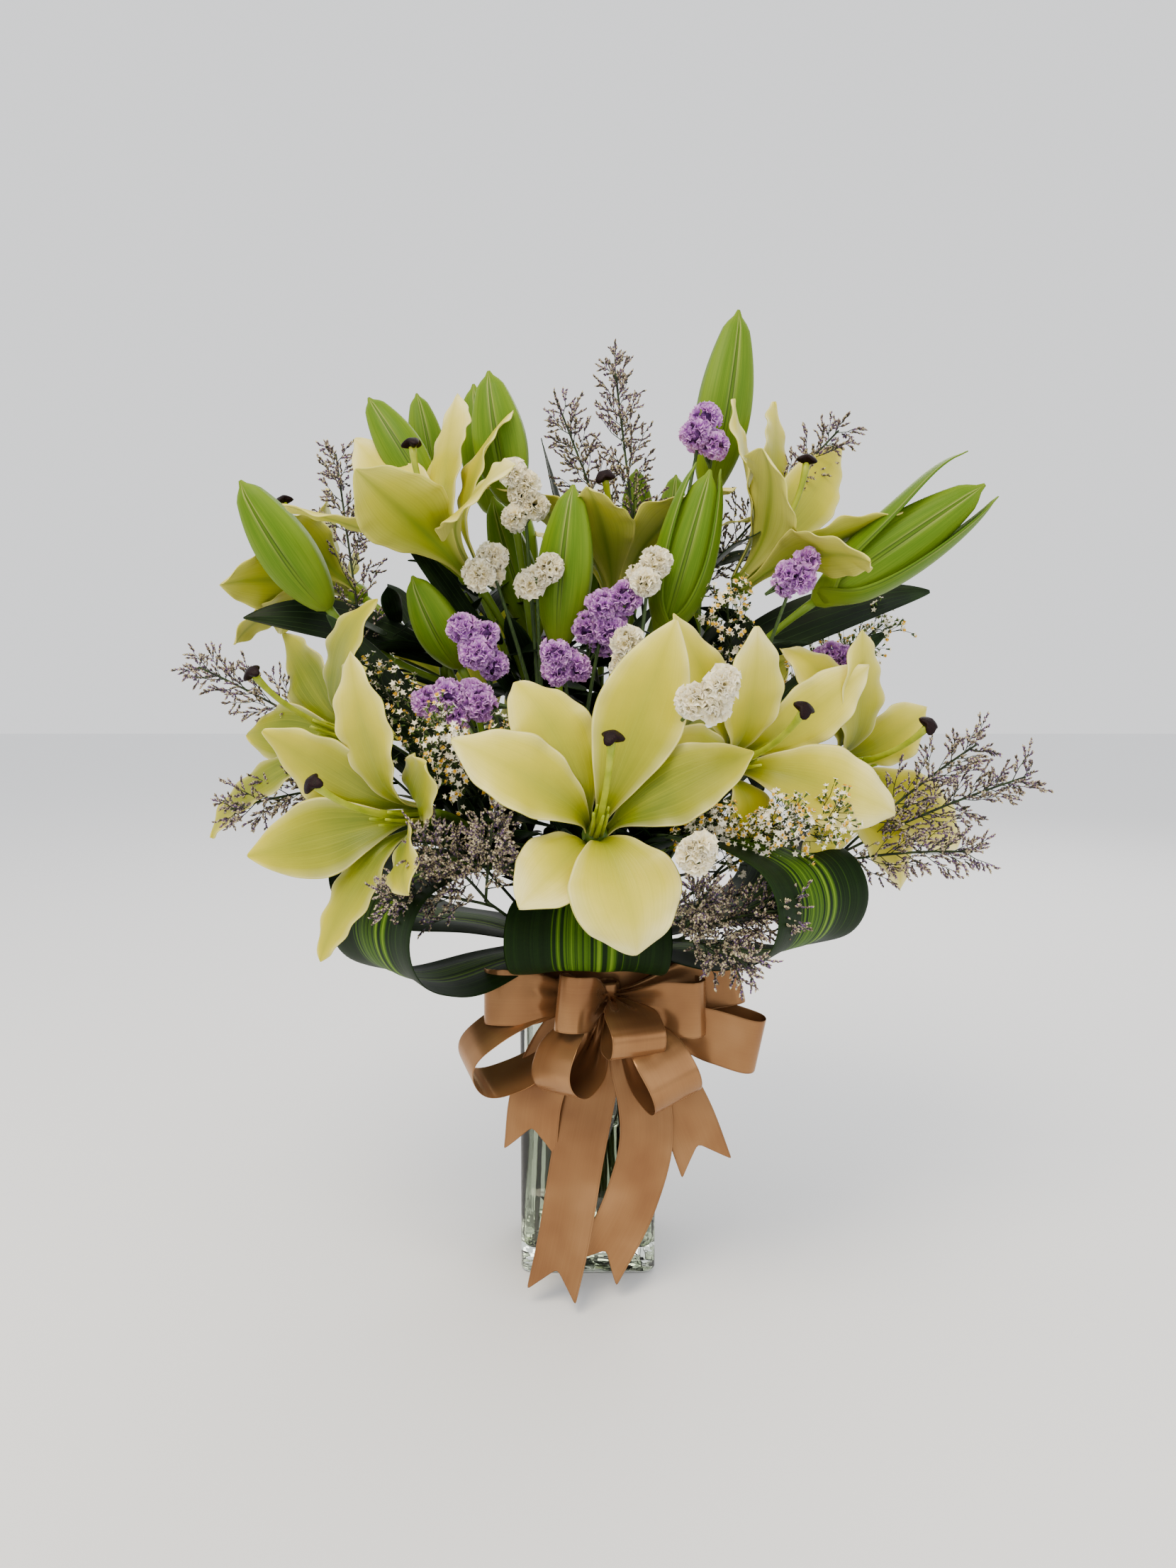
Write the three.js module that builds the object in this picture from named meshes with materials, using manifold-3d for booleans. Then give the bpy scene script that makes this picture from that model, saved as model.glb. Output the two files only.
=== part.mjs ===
// Lilies in a vase: a square glass vase of water that holds cut lily stalks, statice, white
// statice and sea lavender, with folded striped leaves on its rim and a satin bow on its neck.
// Millimetres, +Z up, the bouquet's front towards -Y. The origin is the middle of the vase's
// foot, on the surface that it stands on.

import * as THREE from "three";
import { mergeVertices } from "three/addons/utils/BufferGeometryUtils.js";
import Module from "manifold-3d";

const wasm = await Module();
wasm.setup();
const { Manifold, Mesh } = wasm;
const { degToRad, lerp, smoothstep } = THREE.MathUtils;

// Driving dimensions ---------------------------------------------------------------------

const GAP = 0.35; // air between two pieces that touch
const VASE = { side: 100, height: 240, wall: 4.5, base: 18, corner: 10 };
const WATER_LEVEL = 112;
const RIBBON = { width: 39, thick: 0.8 };
const PETAL = { thick: 1.3, along: 4, across: 2, root: 5.2, behind: 4.5 };
const RECEPTACLE = { below: 3, above: 4, radius: 12 };
const PISTIL = { length: 94, radius: 1.5, rise: 30, stigma: 5.5 };
const LEAF = { thick: 0.9, along: 3, across: 2 };
const COLLAR = { thick: 1.3, width: 114, neck: 40, along: 8 };
const STALK = { foot: 4.2, top: 3.4, pedicel: 2.6 };
const STATICE_STEM = 1.9;
const SPRAY_STEM = 1.3;
const NECK = { pitchX: 14, pitchY: 15, rows: 5, z: 236, twist: degToRad(50), shrink: 0.95 };

// Basic vectors and seeded numbers -------------------------------------------------------

const vec = (x, y, z) => new THREE.Vector3(x, y, z);
const UP = vec(0, 0, 1);
const mix = (a, b, t) => a.clone().lerp(b, t);
const shift = (p, direction, distance) => p.clone().addScaledVector(direction, distance);

// The way something faces: `turn` runs from the front (-Y) towards +X, `lift` up from level.
function facing(turn, lift) {
  const t = degToRad(turn);
  const l = degToRad(lift);
  return vec(Math.sin(t) * Math.cos(l), -Math.cos(t) * Math.cos(l), Math.sin(l));
}

// A repeatable stream of numbers from 0 to 1.
function stream(seed) {
  let state = seed;
  return () => {
    state = (state * 1664525 + 1013904223) % 4294967296;
    return state / 4294967296;
  };
}

// Solids from surfaces -------------------------------------------------------------------

function solidOf(geometry) {
  const bare = geometry.clone();
  for (const extra of ["normal", "uv"]) bare.deleteAttribute(extra);
  const merged = mergeVertices(bare, 1e-4);
  const vertProperties = new Float32Array(merged.attributes.position.array);
  const triVerts = new Uint32Array(merged.index.array);
  const made = new Manifold(new Mesh({ numProp: 3, vertProperties, triVerts }));
  if (made.volume() >= 0) return made;
  triVerts.reverse();
  return new Manifold(new Mesh({ numProp: 3, vertProperties, triVerts }));
}

function geometryOf(solid) {
  const mesh = solid.getMesh();
  const geometry = new THREE.BufferGeometry();
  const positions = new Float32Array(mesh.vertProperties);
  geometry.setAttribute("position", new THREE.BufferAttribute(positions, 3));
  geometry.setIndex(new THREE.BufferAttribute(new Uint32Array(mesh.triVerts), 1));
  geometry.computeVertexNormals();
  return geometry;
}

function geometryFrom(points, faces) {
  const geometry = new THREE.BufferGeometry();
  geometry.setFromPoints(points);
  geometry.setIndex(faces);
  return geometry;
}

// A closed skin over rings of points that all have the same count, with flat ends.
function skin(rings) {
  const count = rings[0].length;
  const faces = [];
  for (let i = 0; i + 1 < rings.length; i++) {
    for (let j = 0; j < count; j++) {
      const a = i * count + j;
      const b = i * count + ((j + 1) % count);
      faces.push(a, b, b + count, a, b + count, a + count);
    }
  }
  const last = (rings.length - 1) * count;
  for (let j = 1; j + 1 < count; j++) {
    faces.push(0, j + 1, j, last, last + j, last + j + 1);
  }
  return solidOf(geometryFrom(rings.flat(), faces));
}

// A thin blade. `surface(u, v)` gives a point and the normal there, with u from the root (0)
// to the tip (1) and v across (-1 to 1). Both faces are split into triangles alike, so a
// waved blade never crosses itself. `grow` thickens and widens it all round.
function blade(surface, along, across, thick, grow) {
  const points = [];
  const row = across + 1;
  for (const face of [1, -1]) {
    for (let i = 0; i <= along; i++) {
      const u = i / along;
      const edge = surface(u, 1).point.sub(surface(u, -1).point).normalize();
      const before = surface(Math.max(0, u - 0.05), 0).point;
      const run = surface(Math.min(1, u + 0.05), 0).point.sub(before).normalize();
      const lengthwise = i === 0 ? -grow : i === along ? grow : 0;
      for (let j = 0; j <= across; j++) {
        const { point, normal } = surface(u, (2 * j) / across - 1);
        const sideways = j === 0 ? -grow : j === across ? grow : 0;
        point.addScaledVector(normal, face * (thick / 2 + grow));
        point.addScaledVector(edge, sideways).addScaledVector(run, lengthwise);
        points.push(point);
      }
    }
  }
  const under = (along + 1) * row;
  const faces = [];
  for (let i = 0; i < along; i++) {
    for (let j = 0; j < across; j++) {
      const a = i * row + j;
      const [b, c, d] = [a + 1, a + row + 1, a + row];
      faces.push(a, b, c, a, c, d);
      faces.push(under + a, under + c, under + b, under + a, under + d, under + c);
    }
  }
  const rim = [];
  for (let j = 0; j < across; j++) rim.push(j);
  for (let i = 0; i < along; i++) rim.push(i * row + across);
  for (let j = across; j > 0; j--) rim.push(along * row + j);
  for (let i = along; i > 0; i--) rim.push(i * row);
  rim.forEach((a, k) => {
    const b = rim[(k + 1) % rim.length];
    faces.push(a, under + a, under + b, a, under + b, b);
  });
  return solidOf(geometryFrom(points, faces));
}

// A stem with a ring of corners at each of `points`, whose radii are given in the same order;
// the last radius holds for the rest of the way.
function rod(points, radii, sides, grow) {
  const last = points.length - 1;
  const whole = points[last].clone().sub(points[0]);
  const helper = Math.abs(whole.z) < 0.7 * whole.length() ? UP : vec(1, 0, 0);
  const rings = points.map((point, i) => {
    const before = points[Math.max(0, i - 1)];
    const run = points[Math.min(last, i + 1)].clone().sub(before).normalize();
    const right = helper.clone().cross(run).normalize();
    const ahead = run.clone().cross(right);
    const centre = shift(point, run, i === 0 ? -grow : i === last ? grow : 0);
    const radius = radii[Math.min(i, radii.length - 1)] + grow;
    return ringAround(centre, right, ahead, () => radius, sides);
  });
  return skin(rings);
}

function ringAround(centre, right, ahead, radiusAt, sides) {
  const ring = [];
  for (let k = 0; k < sides; k++) {
    const angle = (k / sides) * 2 * Math.PI;
    const point = shift(centre, right, radiusAt(angle) * Math.cos(angle));
    ring.push(point.addScaledVector(ahead, radiusAt(angle) * Math.sin(angle)));
  }
  return ring;
}

// A curve's points from end to end, pulled towards a middle one.
function arch(start, pull, end, count) {
  return new THREE.QuadraticBezierCurve3(start, pull, end).getPoints(count);
}

// A body round the line from `root` to `tip`: profile gives its radius along it, and lobe
// how much the radius swells and shrinks round it.
function spindle(root, tip, profile, rings, sides, grow, lobe = () => 1) {
  const { axis, right, ahead } = axes(tip.clone().sub(root));
  const made = [];
  for (let i = 0; i <= rings; i++) {
    const u = i / rings;
    const centre = shift(mix(root, tip, u), axis, (2 * u - 1) * grow);
    const radiusAt = (angle) => profile(u) * lobe(angle) + grow;
    made.push(ringAround(centre, right, ahead, radiusAt, sides));
  }
  return skin(made);
}

// Two directions square to one that is given.
function axes(direction) {
  const axis = direction.clone().normalize();
  const right = axis.clone().cross(Math.abs(axis.z) < 0.9 ? UP : vec(1, 0, 0)).normalize();
  return { axis, right, ahead: axis.clone().cross(right) };
}

// A blade's surface along a curve, `side` being the way across it and `lift` how far the
// surface rises from the flat at (u, v).
function stripSurface(curve, side, halfWidth, lift = () => 0) {
  return (u, v) => {
    const run = curve.getTangentAt(u);
    const across = typeof side === "function" ? side(u) : side.clone();
    across.addScaledVector(run, -across.dot(run)).normalize();
    const normal = across.clone().cross(run).normalize();
    const point = shift(curve.getPointAt(u), across, v * halfWidth(u));
    return { point: point.addScaledVector(normal, lift(u, v)), normal };
  };
}

// The bouquet as a list of parts ---------------------------------------------------------
// A part is one shape of a node, made by `make(grow)`. Parts are laid in order, and each is
// cut clear of the parts of other nodes that were laid before it.

const parts = [];

function lay(node, ...makes) {
  for (const make of makes) parts.push({ node, make });
}

// Lily blooms ----------------------------------------------------------------------------
// `base` is where the bloom sits on its pedicel. Each petal is [azimuth, length, width,
// flare, curl]: azimuth in degrees anticlockwise from the right as seen from in front of the
// bloom, flare the angle that its middle leans out from the bloom's axis, and curl how far
// its tip rolls back past that. An inner petal and one of the outer three, which lie behind
// the inner ones, follow each other in the list.

const BLOOMS = [
  {
    name: "front",
    along: 5,
    base: [4, -127, 339],
    turn: 8,
    lift: 27,
    petals: [
      [67, 159, 60, 53, 5],
      [17, 129, 52, 48, 20],
      [-78, 116, 76, 64, 94],
      [-133, 100, 52, 59, 0],
      [154, 129, 54, 58, 28],
      [119, 138, 54, 58, 66],
    ],
  },
  {
    name: "right",
    base: [92, -70, 381],
    turn: 29,
    lift: 8,
    petals: [
      [97, 115, 54, 50, 18],
      [35, 133, 46, 58, 15],
      [-24, 135, 60, 48, 50],
      [-80, 96, 46, 74, 125],
      [174, 100, 46, 62, 88],
      [118, 132, 40, 74, 0],
    ],
  },
  {
    name: "far_right",
    base: [173, -18, 376],
    turn: 37,
    lift: 3,
    petals: [
      [105, 123, 52, 59, 6],
      [29, 100, 46, 59, 30],
      [-38, 134, 52, 55, 53],
      [-79, 117, 46, 50, 42],
      [-142, 116, 46, 56, 50],
      [118, 140, 42, 76, 89],
    ],
  },
  {
    name: "left",
    base: [-109, -91, 349],
    turn: -40,
    lift: 0,
    petals: [
      [88, 139, 52, 58, 14],
      [141, 127, 54, 48, 0],
      [198, 125, 56, 43, 0],
      [246, 134, 38, 57, 21],
      [327, 100, 44, 40, 22],
      [34, 100, 46, 50, 0],
    ],
  },
  {
    name: "far_left",
    base: [-159, -27, 395],
    turn: -53,
    lift: 13,
    petals: [
      [59, 133, 44, 62, 48],
      [133, 113, 50, 59, 4],
      [188, 103, 46, 47, 32],
      [238, 147, 38, 44, 48],
      [295, 104, 50, 64, 109],
      [29, 118, 44, 49, 57],
    ],
  },
  {
    name: "upper_left",
    base: [-82, -35, 511],
    turn: -66,
    lift: 48,
    petals: [
      [17, 143, 58, 65, 15],
      [85, 132, 46, 49, 35],
      [122, 161, 50, 52, 6],
      [164, 162, 52, 39, 7],
      [277, 143, 48, 29, 1],
      [335, 140, 64, 33, 0],
    ],
  },
  {
    name: "middle",
    base: [21, 20, 489],
    turn: 162,
    lift: 90,
    petals: [
      [40, 142, 64, 43, 37],
      [96, 137, 48, 47, 21],
      [159, 145, 64, 44, 48],
      [205, 136, 45, 52, 22],
      [263, 136, 64, 46, 31],
      [325, 136, 45, 52, 38],
    ],
  },
  {
    name: "upper_right",
    base: [109, -17, 506],
    turn: 78,
    lift: 45,
    petals: [
      [52, 164, 50, 44, 8],
      [86, 139, 52, 47, 0],
      [149, 123, 68, 44, 32],
      [212, 143, 56, 52, 23],
      [251, 130, 54, 22, 0],
      [18, 163, 48, 32, 20],
    ],
  },
  {
    name: "outer_left",
    base: [-174, 38, 501],
    turn: -110,
    lift: 31,
    petals: [
      [-19, 114, 54, 53, 20],
      [30, 99, 40, 58, 25],
      [126, 108, 54, 31, 15],
      [182, 115, 38, 50, 30],
      [242, 115, 54, 44, 38],
      [302, 115, 38, 50, 46],
    ],
  },
  {
    name: "back_right",
    base: [70, 104, 388],
    turn: 152,
    lift: 24,
    petals: [
      [33, 128, 60, 54, 33],
      [99, 128, 42, 60, 53],
      [153, 128, 60, 50, 57],
      [214, 128, 42, 65, 54],
      [277, 128, 60, 54, 51],
      [338, 128, 42, 62, 59],
    ],
  },
  {
    name: "back_left",
    base: [-74, 100, 398],
    turn: 205,
    lift: 26,
    petals: [
      [97, 128, 60, 52, 40],
      [157, 128, 42, 58, 48],
      [217, 128, 60, 53, 50],
      [277, 128, 42, 58, 40],
      [328, 128, 60, 43, 47],
      [32, 128, 42, 56, 52],
    ],
  },
];

// The bloom's own frame: its axis, and the right and up seen from in front of it.
function bloomFrame(bloom) {
  const axis = facing(bloom.turn, bloom.lift);
  const up = UP.clone().addScaledVector(axis, -UP.dot(axis)).normalize();
  return { axis, up, right: up.clone().cross(axis), base: vec(...bloom.base) };
}

// Half the width of a petal along it, as a share of its widest: narrow claw, full middle,
// pointed tip.
function petalSwell(u) {
  const claw = 0.13 + 0.87 * smoothstep(u, 0.08, 0.62);
  const past = Math.max(0, (u - 0.42) / 0.58);
  const taper = Math.pow(Math.max(0, 1 - Math.pow(past, 2.3)), 0.85);
  return Math.max(0.035, claw * taper);
}

// The angle between a petal's middle and the bloom's axis: a tube at first, then flared, with
// the tip rolled back.
function petalLean(u, flare, curl) {
  const open = smoothstep(u, 0.04, 0.5);
  const roll = Math.pow(Math.max(0, (u - 0.5) / 0.5), 1.6);
  return degToRad(10 + (flare - 10) * open * 1.25 + curl * roll);
}

function petalSurface(frame, index, [azimuth, length, width, flare, curl]) {
  const a = degToRad(azimuth);
  const radial = frame.right.clone().multiplyScalar(Math.cos(a));
  radial.addScaledVector(frame.up, Math.sin(a));
  const across = frame.axis.clone().cross(radial);
  const outer = index % 2 === 1;
  const steps = 24;
  return (u, v) => {
    const point = shift(frame.base, radial, PETAL.root);
    for (let k = 0; k < steps; k++) {
      const lean = petalLean(((k + 0.5) / steps) * u, flare, curl);
      point.addScaledVector(frame.axis, (Math.cos(lean) * length * u) / steps);
      point.addScaledVector(radial, (Math.sin(lean) * length * u) / steps);
    }
    const lean = petalLean(u, flare, curl);
    const normal = frame.axis.clone().multiplyScalar(Math.sin(lean));
    normal.addScaledVector(radial, -Math.cos(lean));
    const half = (width / 2) * petalSwell(u);
    const channel = (outer ? 0.06 : 0.12) * half * v * v;
    const wave = 0.12 * half * v * v * Math.sin(9 * u + 2.1 * index + Math.sign(v));
    point.addScaledVector(across, v * half);
    const behind = outer ? PETAL.behind * smoothstep(u, -0.1, 0.15) : 0;
    const lift = channel + wave * smoothstep(u, 0.4, 0.7) - behind;
    point.addScaledVector(normal, lift);
    return { point, normal };
  };
}

function bloomSolid(bloom, grow) {
  const frame = bloomFrame(bloom);
  const { below, above, radius } = RECEPTACLE;
  const foot = shift(frame.base, frame.axis, -below);
  const top = shift(foot, frame.axis, below + above);
  const seat = spindle(foot, top, (u) => radius * (0.72 + 0.28 * u), 1, 6, grow);
  const along = bloom.along ?? PETAL.along;
  const petals = bloom.petals.map((petal, index) =>
    blade(petalSurface(frame, index, petal), along, PETAL.across, PETAL.thick, grow),
  );
  return Manifold.union([seat, ...petals]);
}

// The pistil stands on the receptacle and bends up to its blunt stigma.
function pistilSolid(bloom, grow) {
  const { axis, up, base } = bloomFrame(bloom);
  const { length, radius, rise, stigma } = PISTIL;
  const root = shift(base, axis, RECEPTACLE.above + GAP);
  const way = [[0, 0], [0.55, 0.2], [0.97, 0.95], [1.01, 1], [1.07, 1]].map(([ahead, aside]) =>
    shift(shift(root, axis, length * ahead), up, rise * aside),
  );
  return rod(way, [radius * 1.5, radius, radius, stigma, stigma * 0.6], 5, grow);
}

// Lily stalks ----------------------------------------------------------------------------
// A stalk stands in the vase, forks at `fork`, and bears a pedicel for each of its blooms
// and buds. A bud is [base, tip, width, opening], opening above 0 parting its tip.
// A leaf leaves the stalk at a share `from` of the way from the vase's mouth to the fork, and
// is rolled about its own length by `roll` degrees.

const STALKS = [
  {
    name: "front",
    fork: [2, -66, 300],
    blooms: ["front"],
    buds: [
      { base: [-20, -52, 462], tip: [-10, -62, 574], width: 38 },
    ],
    leaves: [
      { from: 0.9, tip: [-45, -103, 387], width: 26, arch: 14 },
    ],
  },
  {
    name: "right",
    fork: [61, -57, 332],
    blooms: ["right", "far_right"],
    buds: [],
    leaves: [
      { from: 0.95, tip: [222, 0, 474], width: 34, arch: 22, roll: 50 },
    ],
  },
  {
    name: "left",
    fork: [-71, -47, 316],
    blooms: ["left", "far_left"],
    buds: [
      { base: [-90, -44, 448], tip: [-122, -60, 512], width: 32 },
    ],
    leaves: [
      { from: 0.95, tip: [-186, -41, 486], width: 36, arch: 20, roll: -50 },
      { from: 0.8, tip: [-158, -70, 330], width: 30, arch: 24, roll: -30 },
    ],
  },
  {
    name: "upper_left",
    fork: [-36, 2, 397],
    blooms: ["upper_left"],
    buds: [
      { base: [-39, 30, 469], tip: [-72, 26, 576], width: 32 },
      { base: [-55, -12, 565], tip: [-71, -18, 659], width: 38 },
      { base: [-75, 68, 566], tip: [-89, 65, 666], width: 34 },
      { base: [-118, 54, 579], tip: [-132, 55, 657], width: 27 },
      { base: [-116, 12, 572], tip: [-164, 24, 648], width: 32 },
    ],
    leaves: [
      { from: 0.98, tip: [-146, -62, 566], width: 26, arch: 12, roll: -60 },
    ],
  },
  {
    name: "middle",
    fork: [12, 30, 404],
    blooms: ["middle"],
    buds: [
      { base: [52, -48, 466], tip: [84, -62, 584], width: 40, opening: 0.3 },
      { base: [40, 62, 540], tip: [38, 70, 602], width: 24 },
      { base: [63, 80, 531], tip: [71, 97, 601], width: 24 },
    ],
    leaves: [
      { from: 1, tip: [-36, 43, 622], width: 24, arch: 8 },
    ],
  },
  {
    name: "upper_right",
    fork: [83, 11, 441],
    blooms: ["upper_right"],
    buds: [
      { base: [90, 22, 576], tip: [112, 26, 712], width: 40 },
      { base: [160, -37, 494], tip: [273, -62, 574], width: 44, opening: 1 },
    ],
    leaves: [
      { from: 1, tip: [256, 10, 504], width: 42, arch: 20, roll: 55 },
    ],
  },
  {
    name: "far_left",
    fork: [-109, 24, 451],
    blooms: ["outer_left"],
    buds: [
      { base: [-188, -18, 490], tip: [-246, -36, 580], width: 40 },
    ],
    leaves: [
      { from: 1, tip: [-254, -8, 484], width: 38, arch: 22, roll: -55 },
      { from: 0.8, tip: [-232, 60, 430], width: 32, arch: 24, roll: -30 },
    ],
  },
  {
    name: "back",
    fork: [6, 43, 343],
    blooms: ["back_right", "back_left"],
    buds: [
      { base: [10, 92, 466], tip: [6, 112, 576], width: 36 },
      { base: [-52, 96, 500], tip: [-66, 116, 598], width: 34 },
    ],
    leaves: [
      { from: 0.95, tip: [150, 118, 452], width: 34, arch: 24 },
      { from: 0.8, tip: [-159, 100, 456], width: 34, arch: 24 },
      { from: 0.7, tip: [20, 186, 410], width: 34, arch: 22 },
    ],
  },
];

// A bud's radius along it, as a share of its widest.
const budSwell = (u) => 0.2 + 0.8 * Math.pow(Math.sin(Math.PI * Math.pow(u, 0.88)), 0.8);
const budLobe = (angle) => 1 + 0.08 * Math.cos(3 * angle);

// A bud and its pedicel, from inside the stalk at `start`.
function budSolid(start, { base, tip, width, opening = 0 }, grow) {
  const root = vec(...base);
  const end = vec(...tip);
  const { axis, right, ahead } = axes(end.clone().sub(root));
  const pull = shift(root, axis, -0.35 * root.distanceTo(start));
  const rings = arch(start, pull, root, 2).slice(0, 2).map((centre) =>
    ringAround(centre, right, ahead, () => STALK.pedicel + grow, 6),
  );
  for (let i = 0; i <= 5; i++) {
    const u = i / 5;
    const centre = shift(mix(root, end, u), axis, i === 5 ? grow : 0);
    const radiusAt = (angle) => (width / 2) * budSwell(u) * budLobe(angle) + grow;
    rings.push(ringAround(centre, right, ahead, radiusAt, 6));
  }
  const body = skin(rings);
  if (!opening) return body;
  // Two outer petals clasp a bud that has begun to open, and stand away from its tip.
  const side = vec(-axis.z, 0, axis.x).normalize();
  const face = axis.clone().cross(side).normalize();
  const parted = [-1, 1].map((hand) => {
    const surface = (u, v) => {
      const along = lerp(0.3, 1.02, u);
      const away = opening * (hand > 0 ? 0.45 : 0.12) * u ** 3;
      const radius = (width / 2) * budSwell(Math.min(1, along)) + width * (0.04 * u - 0.02 + away);
      const half = 0.42 * width * Math.max(0, 1 - u ** 2.2) ** 0.8 + 0.5;
      const angle = (v * half) / radius;
      const normal = shift(vec(0, 0, 0), side, hand * Math.cos(angle)).addScaledVector(face, Math.sin(angle));
      return { point: shift(mix(root, end, along), normal, radius), normal };
    };
    return blade(surface, 4, 2, PETAL.thick, grow);
  });
  return Manifold.union([body, ...parted]);
}

function leafSolid(root, { tip, width, arch: rise, roll = 0 }, grow) {
  const end = vec(...tip);
  const curve = new THREE.QuadraticBezierCurve3(root, shift(mix(root, end, 0.55), UP, rise), end);
  const run = end.clone().sub(root).normalize();
  const side = run.clone().cross(UP).applyAxisAngle(run, degToRad(roll));
  const swell = (u) => Math.pow(Math.sin(Math.PI * lerp(0.08, 0.995, u)), 0.8);
  const half = (u) => (width / 2) * Math.max(0.08, swell(u));
  const fold = (u, v) => 0.22 * half(u) * Math.abs(v);
  return blade(stripSurface(curve, side, half, fold), LEAF.along, LEAF.across, LEAF.thick, grow);
}

// Where each stem passes the vase's mouth and where it stands on the floor. The mouth is
// filled in columns from left to right and rows from front to back, in the order of the
// heads, so that no two stems cross. Below the mouth the whole bunch is twisted.
const stems = [];

function claimStem(head) {
  const stem = { head: vec(...head) };
  stems.push(stem);
  return stem;
}

function settleStems() {
  const { pitchX, pitchY, rows, z, twist, shrink } = NECK;
  const byX = [...stems].sort((a, b) => a.head.x - b.head.x);
  const columns = Math.ceil(byX.length / rows);
  for (let c = 0; c < columns; c++) {
    const column = byX.slice(c * rows, (c + 1) * rows);
    column.sort((a, b) => a.head.y - b.head.y);
    column.forEach((stem, r) => {
      const x = (c - (columns - 1) / 2) * pitchX;
      const y = (r - (column.length - 1) / 2) * pitchY;
      stem.neck = vec(x, y, z);
      stem.foot = vec(x, y, 0).applyAxisAngle(UP, twist).multiplyScalar(shrink);
      stem.foot.z = VASE.base - 1;
    });
  }
}

// A stem's way: straight from the vase's floor through its mouth, then curved out to an end.
function stemRoute({ foot, neck }, end) {
  const pull = shift(mix(neck, end, 0.4), UP, 0.1 * (end.z - neck.z));
  return [foot, ...arch(neck, pull, end, 3)];
}

// The pedicels leave the top of a stalk one above the other, the lowest end first.
function layStalk({ name, stem, fork, blooms, buds }) {
  const node = "lily_stalk_" + name;
  const route = stemRoute(stem, vec(...fork));
  lay(node, (grow) => rod(route, [STALK.foot, STALK.foot, STALK.top], 6, grow));
  const flowers = BLOOMS.filter((bloom) => blooms.includes(bloom.name));
  const ends = [...flowers, ...buds].sort((a, b) => a.base[2] - b.base[2]);
  ends.forEach((end, k) => {
    const start = mix(route.at(-1), route.at(-2), 0.22 * (ends.length - 1 - k) + 0.03);
    if (end.tip) {
      lay(node, (grow) => budSolid(start, end, grow));
      return;
    }
    const { base, axis } = bloomFrame(end);
    const seat = shift(base, axis, -RECEPTACLE.below - 2 * GAP);
    const pull = shift(seat, axis, -0.35 * seat.distanceTo(start));
    lay(node, (grow) => rod(arch(start, pull, seat, 2), [STALK.pedicel], 4, grow));
  });
}

// Statice ---------------------------------------------------------------------------------
// Heads of small papery florets on a thin stem. A cluster is [x, y, z, length, width, turn,
// lift], the last two being the way that its long axis points.

const STATICE = [
  {
    name: "statice_purple_left",
    clusters: [
      [-73, -85, 463, 54, 38, -20, 60],
      [-90, -103, 428, 60, 36, -80, 8],
    ],
  },
  {
    name: "statice_purple_middle",
    clusters: [
      [11, -76, 483, 62, 40, 35, 58],
      [-17, -92, 452, 38, 30, -60, 20],
    ],
  },
  {
    name: "statice_purple_top",
    clusters: [
      [80, -26, 614, 42, 38, -40, 62],
    ],
  },
  {
    name: "statice_purple_right",
    clusters: [
      [140, -84, 511, 40, 28, 60, 30],
      [177, -26, 457, 34, 22, 80, 15],
    ],
  },
  {
    name: "statice_purple_back",
    clusters: [
      [-36, 130, 465, 44, 34, 200, 50],
      [-190, 61, 456, 30, 26, -100, 30],
    ],
  },
  {
    name: "statice_white_left",
    clusters: [
      [-45, -42, 569, 52, 34, 10, 70],
      [-66, -66, 516, 34, 26, -10, 60],
      [-35, -84, 510, 38, 26, 75, 10],
    ],
  },
  {
    name: "statice_white_middle",
    clusters: [
      [41, -84, 511, 36, 28, 40, 45],
      [24, -104, 459, 34, 28, 10, 50],
      [74, -191, 437, 40, 32, 70, 25],
    ],
  },
  {
    name: "statice_white_low",
    clusters: [
      [69, -187, 340, 34, 26, 0, 60],
      [58, 132, 440, 30, 28, 170, 40],
    ],
  },
];

// A head of florets: each face of a small solid is drawn outwards as a cup that stands a
// little apart from the cups beside it.
function clusterSolid([x, y, z, length, width, turn, lift], seed, grow) {
  const { axis, right, ahead } = axes(facing(turn, lift));
  const random = stream(seed);
  const solid = length > 40 ? new THREE.IcosahedronGeometry() : new THREE.OctahedronGeometry();
  const corners = solid.attributes.position;
  const place = (p, reach) =>
    shift(
      shift(
        shift(vec(x, y, z), axis, p.y * (reach * (length / 2) + grow)),
        right,
        p.x * (reach * (width / 2) + grow),
      ),
      ahead,
      p.z * (reach * (width / 2) + grow),
    );
  const points = [];
  const faces = [];
  for (let i = 0; i < corners.count; i += 3) {
    const face = [0, 1, 2].map((k) => new THREE.Vector3().fromBufferAttribute(corners, i + k));
    const middle = mix(mix(face[0], face[1], 0.5), face[2], 1 / 3);
    const reach = 0.92 + 0.2 * random();
    const start = points.length;
    points.push(...face.map((corner) => place(corner, 0.55)));
    points.push(...face.map((corner) => place(mix(middle, corner, 0.86), reach * 1.12)));
    for (const [a, b] of [[0, 1], [1, 2], [2, 0]]) {
      faces.push(start + a, start + b, start + b + 3, start + a, start + b + 3, start + a + 3);
    }
    faces.push(start + 3, start + 4, start + 5);
  }
  return solidOf(geometryFrom(points, faces));
}

const centreOf = (points) =>
  points.reduce((sum, point) => sum.add(point), vec(0, 0, 0)).divideScalar(points.length);

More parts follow.
